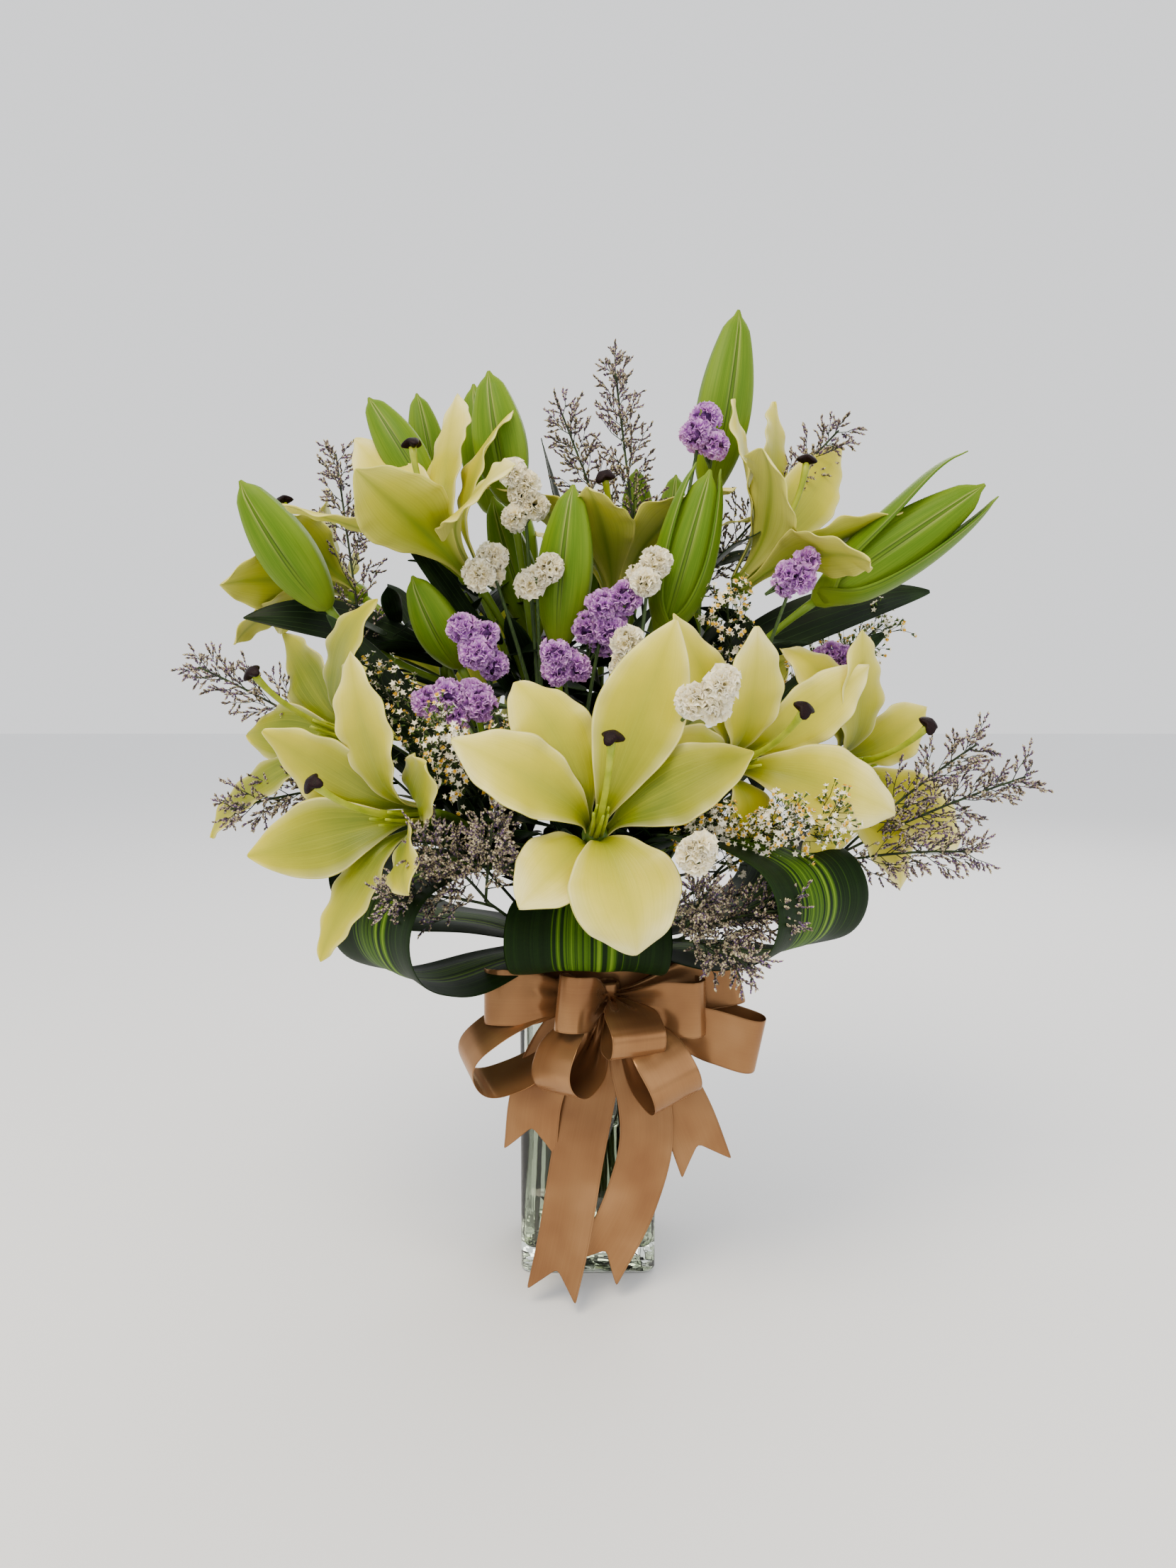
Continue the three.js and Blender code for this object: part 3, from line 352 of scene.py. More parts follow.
def add_stem(bm, way, radii, sides):
    """A round stem along a way: a capped ring, extruded from point to point."""
    def ring_frame(k):
        run = (way[min(k + 1, len(way) - 1)] - way[max(k - 1, 0)]).normalized()
        radius = radii[0] + (radii[-1] - radii[0]) * k / (len(way) - 1) if len(radii) == 2 else radii[k]
        turned = (last_turn[0] @ Vector((0, 0, 1))).rotation_difference(run)
        last_turn[0] = turned.to_matrix() @ last_turn[0]
        return Matrix.Translation(way[k]) @ last_turn[0].to_4x4() @ Matrix.Diagonal((radius, radius, 1, 1))

    last_turn = [square_to((way[1] - way[0]).normalized())]
    here = ring_frame(0)
    before = set(bm.faces)
    ring = bmesh.ops.create_circle(bm, cap_ends=True, radius=1, segments=sides, matrix=here)["verts"]
    edges = list({e for v in ring for e in v.link_edges})
    for k in range(1, len(way)):
        there = ring_frame(k)
        grown = bmesh.ops.extrude_edge_only(bm, edges=edges)["geom"]
        ring = {g for g in grown if isinstance(g, bmesh.types.BMVert)}
        edges = [g for g in grown if isinstance(g, bmesh.types.BMEdge) and set(g.verts) <= ring]
        bmesh.ops.transform(bm, matrix=there @ here.inverted(), verts=list(ring))
        here = there
    bmesh.ops.contextual_create(bm, geom=edges)
    made = [f for f in bm.faces if f not in before]
    bmesh.ops.recalc_face_normals(bm, faces=made)


def facing(turn, lift):
    """The way something points: turn from the front towards +X, lift up from level."""
    t, l = math.radians(turn), math.radians(lift)
    return Vector((math.sin(t) * math.cos(l), -math.cos(t) * math.cos(l), math.sin(l)))


def smooth_step(value, low, high):
    t = min(1, max(0, (value - low) / (high - low)))
    return t * t * (3 - 2 * t)


def blend_of(a, b, t):
    return a + (b - a) * t


# What the stalks bear, and the heads and sprays beside them. They decide where each stem stands:
# in columns from left to right and rows from front to back.
BLOOMS = {
    "front": {
        "base": [4, -127, 339], "turn": 8, "lift": 27,
        "lime_and_shade": [0.35, 0.75, 0.05, 0.05, 0.2, 0.3],
        "petals": [
            [67, 159, 60, 53, 5], [17, 129, 52, 48, 20], [-78, 116, 76, 64, 94],
            [-133, 100, 52, 59, 0], [154, 129, 54, 58, 28], [119, 138, 54, 58, 66],
        ],
    },
    "right": {
        "base": [92, -70, 381], "turn": 29, "lift": 8,
        "lime_and_shade": [0.1, 0.15, 0.05, 0.1, 0.4, 0.3],
        "petals": [
            [97, 115, 54, 50, 18], [35, 133, 46, 58, 15], [-24, 135, 60, 48, 50],
            [-80, 96, 46, 74, 125], [174, 100, 46, 62, 88], [118, 132, 40, 74, 0],
        ],
    },
    "far_right": {
        "base": [173, -18, 376], "turn": 37, "lift": 3,
        "lime_and_shade": [0.3, 0.3, 0.1, 0.1, 0.4, 0.4],
        "petals": [
            [105, 123, 52, 59, 6], [29, 100, 46, 59, 30], [-38, 134, 52, 55, 53],
            [-79, 117, 46, 50, 42], [-142, 116, 46, 56, 50], [118, 140, 42, 76, 89],
        ],
    },
    "left": {
        "base": [-109, -91, 349], "turn": -40, "lift": 0,
        "lime_and_shade": [0.3, 0.55, 0.7, 0.6, 0.7, 0.8],
        "petals": [
            [88, 139, 52, 58, 14], [141, 127, 54, 48, 0], [198, 125, 56, 43, 0],
            [246, 134, 38, 57, 21], [327, 100, 44, 40, 22], [34, 100, 46, 50, 0],
        ],
    },
    "far_left": {
        "base": [-159, -27, 395], "turn": -53, "lift": 13,
        "lime_and_shade": [0.8, 0.95, 1.0, 0.8, 0.9, 0.9],
        "petals": [
            [59, 133, 44, 62, 48], [133, 113, 50, 59, 4], [188, 103, 46, 47, 32],
            [238, 147, 38, 44, 48], [295, 104, 50, 64, 109], [29, 118, 44, 49, 57],
        ],
    },
    "upper_left": {
        "base": [-82, -35, 511], "turn": -66, "lift": 48,
        "lime_and_shade": [0.2, 0.25, 0.15, 0.1, 0.6, 0.7],
        "petals": [
            [17, 143, 58, 65, 15], [85, 132, 46, 49, 35], [122, 161, 50, 52, 6],
            [164, 162, 52, 39, 7], [277, 143, 48, 29, 1], [335, 140, 64, 33, 0],
        ],
    },
    "middle": {
        "base": [21, 20, 489], "turn": 162, "lift": 90,
        "lime_and_shade": [0.4, 0.5, 0.3, 0.5, 0.3, 0.5],
        "petals": [
            [40, 142, 64, 43, 37], [96, 137, 48, 47, 21], [159, 145, 64, 44, 48],
            [205, 136, 45, 52, 22], [263, 136, 64, 46, 31], [325, 136, 45, 52, 38],
        ],
    },
    "upper_right": {
        "base": [109, -17, 506], "turn": 78, "lift": 45,
        "lime_and_shade": [0.5, 0.4, 0.3, 0.5, 0.5, 0.4],
        "petals": [
            [52, 164, 50, 44, 8], [86, 139, 52, 47, 0], [149, 123, 68, 44, 32],
            [212, 143, 56, 52, 23], [251, 130, 54, 22, 0], [18, 163, 48, 32, 20],
        ],
    },
    "outer_left": {
        "base": [-174, 38, 501], "turn": -110, "lift": 31,
        "lime_and_shade": [0.7, 0.8, 0.6, 0.8, 0.9, 0.8],
        "petals": [
            [-19, 114, 54, 53, 20], [30, 99, 40, 58, 25], [126, 108, 54, 31, 15],
            [182, 115, 38, 50, 30], [242, 115, 54, 44, 38], [302, 115, 38, 50, 46],
        ],
    },
    "back_right": {
        "base": [70, 104, 388], "turn": 152, "lift": 24,
        "lime_and_shade": [0.2, 0.4, 0.3, 0.5, 0.2, 0.4],
        "petals": [
            [33, 128, 60, 54, 33], [99, 128, 42, 60, 53], [153, 128, 60, 50, 57],
            [214, 128, 42, 65, 54], [277, 128, 60, 54, 51], [338, 128, 42, 62, 59],
        ],
    },
    "back_left": {
        "base": [-74, 100, 398], "turn": 205, "lift": 26,
        "lime_and_shade": [0.4, 0.3, 0.5, 0.2, 0.4, 0.3],
        "petals": [
            [97, 128, 60, 52, 40], [157, 128, 42, 58, 48], [217, 128, 60, 53, 50],
            [277, 128, 42, 58, 40], [328, 128, 60, 43, 47], [32, 128, 42, 56, 52],
        ],
    },
}
STATICE = {
    "statice_purple_left": [[-73, -85, 463, 54, 38, -20, 60], [-90, -103, 428, 60, 36, -80, 8]],
    "statice_purple_middle": [[11, -76, 483, 62, 40, 35, 58], [-17, -92, 452, 38, 30, -60, 20]],
    "statice_purple_top": [[80, -26, 614, 42, 38, -40, 62]],
    "statice_purple_right": [[140, -84, 511, 40, 28, 60, 30], [177, -26, 457, 34, 22, 80, 15]],
    "statice_purple_back": [[-36, 130, 465, 44, 34, 200, 50], [-190, 61, 456, 30, 26, -100, 30]],
    "statice_white_left": [
        [-45, -42, 569, 52, 34, 10, 70], [-66, -66, 516, 34, 26, -10, 60], [-35, -84, 510, 38, 26, 75, 10],
    ],
    "statice_white_middle": [
        [41, -84, 511, 36, 28, 40, 45], [24, -104, 459, 34, 28, 10, 50], [74, -191, 437, 40, 32, 70, 25],
    ],
    "statice_white_low": [[69, -187, 340, 34, 26, 0, 60], [58, 132, 440, 30, 28, 170, 40]],
}
SPRAYS = {
    "sea_lavender_star_left": [[-150, -60, 440], [-96, -136, 409], [-50, -124, 402]],
    "sea_lavender_star_right": [[96, -58, 500], [221, 11, 480], [204, 40, 452]],
    "sea_lavender_star_low": [[85, -106, 343], [130, -132, 352], [166, -118, 352]],
    "sea_lavender_mist_left": [[-60, -170, 350], [-104, -159, 339], [-128, -140, 300]],
    "sea_lavender_mist_right": [[72, -168, 304], [99, -177, 266], [124, -158, 296]],
    "sea_lavender_mist_outer": [[268, -78, 396], [308, -62, 372], [262, -96, 324]],
    "sea_lavender_mist_top": [[20, 50, 678], [-20, 44, 640], [190, 36, 626]],
    "sea_lavender_mist_outer_left": [[-290, 0, 448], [-250, -70, 350], [-196, 60, 612]],
}


def middle_of(points):
    return sum((Vector(p[:3]) for p in points), Vector()) / len(points)


heads = {"lily_stalk_" + name: Vector(stalk["fork"]) for name, stalk in STALKS.items()}
heads.update({name: middle_of(clusters) for name, clusters in STATICE.items()})
heads.update({name: middle_of(tips) for name, tips in SPRAYS.items()})
necks, feet = {}, {}
left_to_right = sorted(heads, key=lambda name: heads[name].x)
column_count = math.ceil(len(left_to_right) / NECK_ROWS)
for c in range(column_count):
    column = sorted(left_to_right[c * NECK_ROWS : (c + 1) * NECK_ROWS], key=lambda name: heads[name].y)
    for r, name in enumerate(column):
        x = (c - (column_count - 1) / 2) * NECK_PITCH_X
        y = (r - (len(column) - 1) / 2) * NECK_PITCH_Y
        necks[name] = Vector((x, y, NECK_Z))
        turned = Matrix.Rotation(BUNCH_TWIST, 3, "Z") @ Vector((x, y, 0)) * BUNCH_SHRINK
        feet[name] = Vector((turned.x, turned.y, VASE_BASE + 0.5))


def stem_curve(name, end, count=14):
    """From the vase's floor up through its mouth, then out to the end."""
    neck = necks[name]
    pull = blend_of(neck, end, 0.4) + UP * 0.1 * (end.z - neck.z)
    lower = [blend_of(feet[name], neck, k / 5) for k in range(5)]
    return lower + bent_way(neck, pull, end, count)


def fork_point(name, end, back):
    """A point a little below the top of a stem, where a branch leaves it."""
    neck = necks[name]
    pull = blend_of(neck, end, 0.4) + UP * 0.1 * (end.z - neck.z)
    return blend_of(end, bent_way(neck, pull, end, 3)[2], back)


def bloom_axis(bloom):
    return facing(bloom["turn"], bloom["lift"])


# Fresh lily stalk: a smooth, waxy, slightly streaked skin, darker below and paler near the
# blooms, with a soft gleam along it.
stalk_skin = new_material("waxy lily stalk")
at = add_node(stalk_skin, "TexCoord").outputs["Object"]
tall = add_node(stalk_skin, "Mapping", {"Scale": (240, 240, 22)}, {"Vector": at})
streaks = add_node(stalk_skin, "TexNoise", {"Scale": 1.0, "Detail": 3}, {"Vector": tall})
height = add_node(stalk_skin, "SeparateXYZ", feeds={"Vector": at})
mixed = add_node(
    stalk_skin, "Math", {1: 0.25}, {0: streaks}, operation="MULTIPLY"
)
raised = add_node(
    stalk_skin, "Math", {}, {0: height.outputs["Z"], 1: mixed},
    operation="ADD",
)
greens = add_node(
    stalk_skin, "ValToRGB", feeds={"Fac": raised},
    stops=[(0.02, "#22390E"), (0.3, "#365514"), (0.5, "#567218"), (0.72, "#6C881E")],
)
relief = add_node(
    stalk_skin, "Bump", {"Strength": 0.3, "Distance": 0.0004}, {"Height": streaks}
)
surface_of(
    stalk_skin,
    {"Roughness": 0.42, "Specular IOR Level": 0.3},
    {"Base Color": greens, "Normal": relief},
)

for name, stalk in STALKS.items():
    node = "lily_stalk_" + name
    fork = Vector(stalk["fork"])
    bm = bmesh.new()
    add_stem(bm, stem_curve(node, fork), [STALK_FOOT, STALK_TOP], 12)
    ends = [(Vector(BLOOMS[b]["base"]), bloom_axis(BLOOMS[b]), 4) for b in stalk["blooms"]]
    ends += [(Vector(b[0]), (Vector(b[1]) - Vector(b[0])).normalized(), -1) for b in stalk["buds"]]
    ends.sort(key=lambda end: end[0].z)
    for k, (seat, axis, gap) in enumerate(ends):
        start = fork_point(node, fork, 0.22 * (len(ends) - 1 - k) + 0.03)
        seat = seat - axis * gap
        pull = seat - axis * 0.35 * (seat - start).length
        radii = [PEDICEL * (1.15 if i == 0 else 1 + 0.35 * smooth_step(i, 8, 11)) for i in range(12)]
        add_stem(bm, bent_way(start, pull, seat, 11), radii, 10)
    add_stem(bm, [fork - UP * 12, fork - UP * 4, fork + UP * 1], [3.6, 4.6, 3.4], 12)
    hand_over(node + "_stems", bm, [node], "lily_green", stalk_skin)

# Lily buds ------------------------------------------------------------------------------------------
# Closed trumpets of three waxy outer petals, each with a raised rib down its back and a pale
# margin where it meets the next. The oldest have parted at the tip.


def bud_swell(u):
    return 0.2 + 0.8 * math.sin(math.pi * min(1, max(0, u)) ** 0.88) ** 0.8


def mapped_grid(bm, along, around, place, finish=0):
    """A grid laid by place(u, v), u along and v across from 0 to 1, that keeps (v, u) as UVs."""
    uvs = bm.loops.layers.uv.verify()
    made = bmesh.ops.create_grid(bm, x_segments=around, y_segments=along, size=0.5)["verts"]
    for vert in made:
        u, v = vert.co.y + 0.5, vert.co.x + 0.5
        for loop in vert.link_loops:
            loop[uvs].uv = (v, u)
        vert.co = place(u, v)
    for face in {f for vert in made for f in vert.link_faces}:
        face.material_index = finish
    return made


def across_front(axis):
    """Two ways square to an axis, the first of them away from the front."""
    back = (Vector((0, 1, 0)) - axis * axis.y).normalized()
    return back, axis.cross(back)


def add_bud(bm, base, tip, width, roll):
    axis = (tip - base).normalized()
    length = (tip - base).length
    back, aside = across_front(axis)

    def place(u, v):
        angle = 2 * math.pi * v
        away = abs((v * 360 % 120) - 60)
        radius = width / 2 * bud_swell(u) * (1 + 0.08 * math.cos(3 * angle))
        rib = 0.04 * math.exp(-(((60 - away) / 10) ** 2))
        seam = -0.07 * math.exp(-((away - 5.5) / 2.8) ** 2) + 0.02 * math.exp(-((away - 12) / 4) ** 2)
        radius *= 1 + rib * smooth_step(u, 0.02, 0.3) + seam * smooth_step(u, 0.05, 0.4)
        radius *= 1 - 0.72 * smooth_step(u, 0.9, 1)
        if u < 0.001:
            radius = PEDICEL
        bow = back * 0.012 * length * math.sin(math.pi * u)
        turned = angle + roll
        return base + axis * length * u + bow + (back * math.cos(turned) + aside * math.sin(turned)) * radius

    made = mapped_grid(bm, 28, 72, place)
    bmesh.ops.remove_doubles(bm, verts=made, dist=0.001)


# The waxy skin of a lily bud: fresh green with fine lengthwise streaks. At each seam the keel of
# an inner petal shows as a dark line between two whitish margins, which fade towards the stalk.
bud_skin = new_material("waxy lily bud")
uv = add_node(bud_skin, "UVMap").outputs["UV"]
across = add_node(bud_skin, "SeparateXYZ", feeds={"Vector": uv})
thirds = add_node(bud_skin, "Math", {1: 6 * math.pi}, {0: across.outputs["X"]}, operation="MULTIPLY")
ribbed = add_node(bud_skin, "Math", feeds={0: thirds}, operation="COSINE")
band = add_node(bud_skin, "MapRange", {"From Min": -1.0, "From Max": 1.0}, {"Value": ribbed})
skin_green = add_node(
    bud_skin, "ValToRGB", feeds={"Fac": band},
    stops=[
        (0.0, "#47680F"), (0.012, "#26420A"), (0.03, "#456808"),
        (0.3, "#4A6C08"), (0.8, "#547309"), (1.0, "#64801A"),
    ],
)
fine = add_node(bud_skin, "Mapping", {"Scale": (120, 2.2, 1)}, {"Vector": uv})
veins = add_node(bud_skin, "TexNoise", {"Scale": 1.0, "Detail": 3}, {"Vector": fine})
streak = add_node(
    bud_skin, "MapRange", {"From Min": 0.42, "From Max": 0.7, "To Min": 0.0, "To Max": 0.35},
    {"Value": veins},
)
streaked = add_node(
    bud_skin, "Mix", {"B": linear("#7C9322")},
    {"Factor": streak, "A": skin_green}, data_type="RGBA",
)
margin = add_node(
    bud_skin, "ValToRGB", feeds={"Fac": band},
    stops=[(0.012, 0.0), (0.024, 0.75), (0.05, 0.25), (0.12, 0.0)],
)
upper = add_node(
    bud_skin, "MapRange", {"From Min": 0.3, "From Max": 0.95}, {"Value": across.outputs["Y"]},
)
pale = add_node(
    bud_skin, "Math", feeds={0: margin, 1: upper}, operation="MULTIPLY"
)
edged = add_node(
    bud_skin, "Mix", {"B": linear("#AEB462")},
    {"Factor": pale, "A": streaked}, data_type="RGBA",
)
foot_tone = add_node(
    bud_skin, "ValToRGB", feeds={"Fac": across.outputs["Y"]},
    stops=[(0.0, 0.8), (0.2, 0.2), (0.45, 0.0), (0.9, 0.0), (1.0, 0.4)],
)
toned = add_node(
    bud_skin, "Mix", {"B": linear("#7A8C20")},
    {"Factor": foot_tone, "A": edged}, data_type="RGBA",
)
relief = add_node(bud_skin, "Bump", {"Strength": 0.35, "Distance": 0.0005}, {"Height": veins})
surface_of(
    bud_skin,
    {
        "Roughness": 0.45, "Specular IOR Level": 0.14, "Subsurface Weight": 0.08, "Subsurface Scale": 0.003,
        "Subsurface Radius": (0.6, 1.0, 0.2),
    },
    {"Base Color": toned, "Normal": relief},
)


def strip_place(curve, side_at, half_at, lift_at):
    """Places a grid on a strip along a curve; u runs along it and v across it, from 0 to 1."""
    def place(u, v):
        point, run = curve(u)
        across = side_at(u) if callable(side_at) else side_at
        across = (across - run * across.dot(run)).normalized()
        normal = across.cross(run)
        reach = 2 * v - 1
        return point + across * reach * half_at(u) + normal * lift_at(u, reach)
    return place


def bezier_curve(start, pull, end):
    def curve(u):
        point = start * (1 - u) ** 2 + pull * 2 * u * (1 - u) + end * u * u
        return point, ((pull - start) * (1 - u) + (end - pull) * u).normalized()
    return curve


for name, stalk in STALKS.items():
    bm = bmesh.new()
    for base, tip, width, opening in stalk["buds"]:
        base, tip = Vector(base), Vector(tip)
        add_bud(bm, base, tip, width * (0.9 if opening else 1), random.Random(str(tip)).uniform(-0.3, 0.3))
        if not opening:
            continue
        # Two outer petals clasp a bud that has begun to open, and stand away from its tip.
        axis, length = (tip - base).normalized(), (tip - base).length
        side = Vector((-axis.z, 0, axis.x)).normalized()
        face = axis.cross(side).normalized()
        for hand in (-1, 1):
            def clasping(u, v):
                along = blend_of(0.05, 1.02, u)
                away = opening * (0.45 if hand > 0 else 0.12) * smooth_step(u, 0.1, 1) ** 2.2
                clear = blend_of(-0.05, 0.02, smooth_step(u, 0, 0.2)) + 0.02 * u
                radius = width / 2 * bud_swell(along) * 1.02 + width * (clear + away)
                half = width * 0.5 * max(0, 1 - u ** 3.4) ** 0.8 + 1
                angle = (2 * v - 1) * half / radius
                return base + axis * length * along + (
                    side * hand * math.cos(angle) + face * math.sin(angle)
                ) * radius

            made = mapped_grid(bm, 26, 12, clasping)
            uvs = bm.loops.layers.uv.verify()
            for loop in {loop for v in made for loop in v.link_loops}:
                loop[uvs].uv.x = (1 + 2 * loop[uvs].uv.x) / 6
            petal = list({f for v in made for f in v.link_faces})
            bmesh.ops.recalc_face_normals(bm, faces=petal)
            bmesh.ops.solidify(bm, geom=petal, thickness=0.9)
    if not stalk["buds"]:
        bm.free()
        continue
    bmesh.ops.recalc_face_normals(bm, faces=bm.faces)
    hand_over("lily_stalk_%s_buds" % name, bm, ["lily_stalk_" + name], "lily_green", bud_skin)

# Lily leaves ----------------------------------------------------------------------------------------
# Long, leathery, dark leaves that sit straight on the stalk, folded a little along the middle,
# with all their veins running from end to end.

# A leathery leaf with a waxed gloss: almost black green, with a few sunken veins from end to end
# that are a shade lighter.
leathery_leaf = new_material("leathery lily leaf")
uv = add_node(leathery_leaf, "UVMap").outputs["UV"]
across = add_node(leathery_leaf, "SeparateXYZ", feeds={"Vector": uv})
at = add_node(leathery_leaf, "TexCoord").outputs["Object"]
clouds = add_node(leathery_leaf, "TexNoise", {"Scale": 40, "Detail": 3}, {"Vector": at})
greens = add_node(
    leathery_leaf, "ValToRGB", feeds={"Fac": clouds},
    stops=[(0.3, "#0F1B0D"), (0.55, "#162611"), (0.75, "#223718")],
)
sixths = add_node(leathery_leaf, "Math", {1: 12 * math.pi}, {0: across.outputs["X"]}, operation="MULTIPLY")
waves = add_node(leathery_leaf, "Math", feeds={0: sixths}, operation="COSINE")
lines = add_node(
    leathery_leaf, "MapRange", {"From Min": 0.93, "From Max": 1.0, "To Min": 0.0, "To Max": 0.55},
    {"Value": waves},
)
veined = add_node(
    leathery_leaf, "Mix", {"B": linear("#314B23")},
    {"Factor": lines, "A": greens}, data_type="RGBA",
)
relief = add_node(
    leathery_leaf, "Bump", {"Strength": 0.5, "Distance": 0.0004}, {"Height": lines},
    invert=True,
)
surface_of(
    leathery_leaf,
    {"Roughness": 0.45, "Specular IOR Level": 0.14},
    {"Base Color": veined, "Normal": relief},
)


def add_thickness(piece, thick, levels=1, offset=0.0):
    """A live wall thickness, in metres, and a smoothing of its form."""
    wall = piece.modifiers.new("wall", "SOLIDIFY")
    wall.thickness = thick
    wall.offset = offset
    if levels:
        form = piece.modifiers.new("form", "SUBSURF")
        form.levels = form.render_levels = levels
    return wall


def leaf_place(root, end, width, rise, roll):
    """A leaf from its root on the stalk to its tip, arched by its rise and folded along the middle."""
    run = (end - root).normalized()
    side = Matrix.Rotation(math.radians(roll), 3, run) @ run.cross(UP)
    half = lambda u: width / 2 * max(0.04, math.sin(math.pi * blend_of(0.08, 0.992, u)) ** 0.8)
    fold = lambda u, v: 0.22 * half(u) * abs(v) + 0.8 * math.sin(9 * u + 2 * v) * v * v
    return strip_place(bezier_curve(root, blend_of(root, end, 0.55) + UP * rise, end), side, half, fold)


for name, stalk in STALKS.items():
    bm = bmesh.new()
    neck, fork = necks["lily_stalk_" + name], Vector(stalk["fork"])
    for share, tip, width, rise, roll in stalk["leaves"]:
        mapped_grid(bm, 22, 6, leaf_place(blend_of(neck, fork, share), Vector(tip), width, rise, roll))
    # The short leaves all round the stalk, deep in the bunch.
    pick = random.Random("leaves " + name)
    ends = [Vector(BLOOMS[b]["base"]) for b in stalk["blooms"]] + [Vector(b[0]) for b in stalk["buds"]]
    for k in range(16 + 6 * len(ends)):
        end = ends[k % len(ends)]
        root = (
            blend_of(neck, fork, pick.uniform(0.3, 1)) if k < 16
            else blend_of(fork, end, pick.uniform(0, 0.6))
        )
        inwards = Vector((-root.x, 20 - root.y, 0)) * 0.004 if k % 3 == 0 else Vector()
        out = facing(math.degrees(2.4 * k + pick.uniform(-0.4, 0.4)), pick.uniform(-10, 52)) + inwards
        tip = root + out.normalized() * pick.uniform(44, 80)
        tip.z = max(tip.z, 262)
        mapped_grid(
            bm, 8, 2,
            leaf_place(root, tip, pick.uniform(15, 23), pick.uniform(2, 10), pick.uniform(-30, 30)),
        )
    leaves = hand_over("lily_stalk_%s_leaves" % name, bm, ["lily_stalk_" + name], "lily_green", leathery_leaf)
    add_thickness(leaves, 0.0007)

# Lily blooms ----------------------------------------------------------------------------------------
# Six fleshy petals in two whorls round a green throat, three wide ones in front of three narrow ones. A petal
# is [azimuth, length, width, flare, curl]: it leaves the throat as a tube, leans out to its flare, and rolls
# its tip back by its curl. Each petal's lime value is partly how green it has stayed and partly painted
# shade. A higher value makes a petal darker and greener, and the petals that lie in shade in the bunch were
# given higher values.

PETAL_ROOT, PETAL_BEHIND = 5.2, 4.5
PETAL_ROWS = 26


def petal_swell(u):
    claw = 0.13 + 0.87 * smooth_step(u, 0.08, 0.62)
    past = max(0, (u - 0.42) / 0.58)
    return max(0.02, claw * max(0, 1 - past ** 2.8) ** 0.95)


def petal_lean(u, flare, curl):
    roll = max(0, (u - 0.5) / 0.5) ** 1.6
    return math.radians(10 + (flare - 10) * smooth_step(u, 0.04, 0.5) * 1.25 + curl * roll)


def petal_place(bloom, index, petal):
    azimuth, length, width, flare, curl = petal
    axis = bloom_axis(bloom)
    up = (UP - axis * axis.z).normalized()
    right = up.cross(axis)
    a = math.radians(azimuth)
    radial = right * math.cos(a) + up * math.sin(a)
    across = axis.cross(radial)
    outer = index % 2 == 1
    point = Vector(bloom["base"]) + radial * PETAL_ROOT
    spine = []
    for row in range(PETAL_ROWS + 1):
        lean = petal_lean(row / PETAL_ROWS, flare, curl)
        spine.append((point.copy(), axis * math.sin(lean) - radial * math.cos(lean)))
        for k in range(3):
            lean = petal_lean((row + (k + 0.5) / 3) / PETAL_ROWS, flare, curl)
            point += (axis * math.cos(lean) + radial * math.sin(lean)) * length / PETAL_ROWS / 3
    phase = random.Random("%s %d" % (bloom["base"], index)).uniform(0, 6.28)

    def place(u, v):
        v = 2 * v - 1
        middle, normal = spine[round(u * PETAL_ROWS)]
        half = width / 2 * petal_swell(u)
        cupped = 0.3 - 0.18 * smooth_step(u, 0.1, 0.5) - 0.34 * smooth_step(u, 0.55, 1)
        wave = (
            0.17 * half * v * v * math.sin(9 * u + 2.1 * index + (v > 0) - (v < 0))
            * smooth_step(u, 0.4, 0.7)
        )
        ruffle = 2.2 * abs(v) ** 4 * math.sin(length * u / 3.6 + phase + 1.7 * v) * smooth_step(u, 0.2, 0.45)
        groove = -1.1 * math.exp(-((v / 0.14) ** 2)) * (1 - smooth_step(u, 0.35, 0.85))
        ribs = 0.35 * math.cos(11 * v) * smooth_step(u, 0.1, 0.3) * (1 - u)
        behind = PETAL_BEHIND * smooth_step(u, -0.1, 0.15) if outer else 0
        lift = (0.5 if outer else 1) * cupped * half * v * v + wave + ruffle + groove + ribs - behind
        return middle + across * v * half * 1.02 + normal * lift

    return place


# The inner face of a petal: a yellow lime heart that fades outwards, a whitish margin, a fine
# green line on each side of the groove, and soft, faintly shining, translucent flesh.
petal_face = new_material("lily petal, inner face")
uv = add_node(petal_face, "UVMap").outputs["UV"]
place_on = add_node(petal_face, "SeparateXYZ", feeds={"Vector": uv})
at = add_node(petal_face, "TexCoord").outputs["Object"]
centred = add_node(petal_face, "Math", {1: 0.5}, {0: place_on.outputs["X"]}, operation="SUBTRACT")
aside = add_node(petal_face, "Math", feeds={0: centred}, operation="ABSOLUTE")
clouds = add_node(petal_face, "TexNoise", {"Scale": 30, "Detail": 3}, {"Vector": at})
drift = add_node(petal_face, "Math", {1: 0.3, 2: -0.15}, {0: clouds}, operation="MULTIPLY_ADD")
reach = add_node(petal_face, "Math", feeds={0: place_on.outputs["Y"], 1: drift}, operation="ADD")
spread = add_node(
    petal_face, "Math", {1: 0.5}, {0: aside, 2: reach}, operation="MULTIPLY_ADD"
)
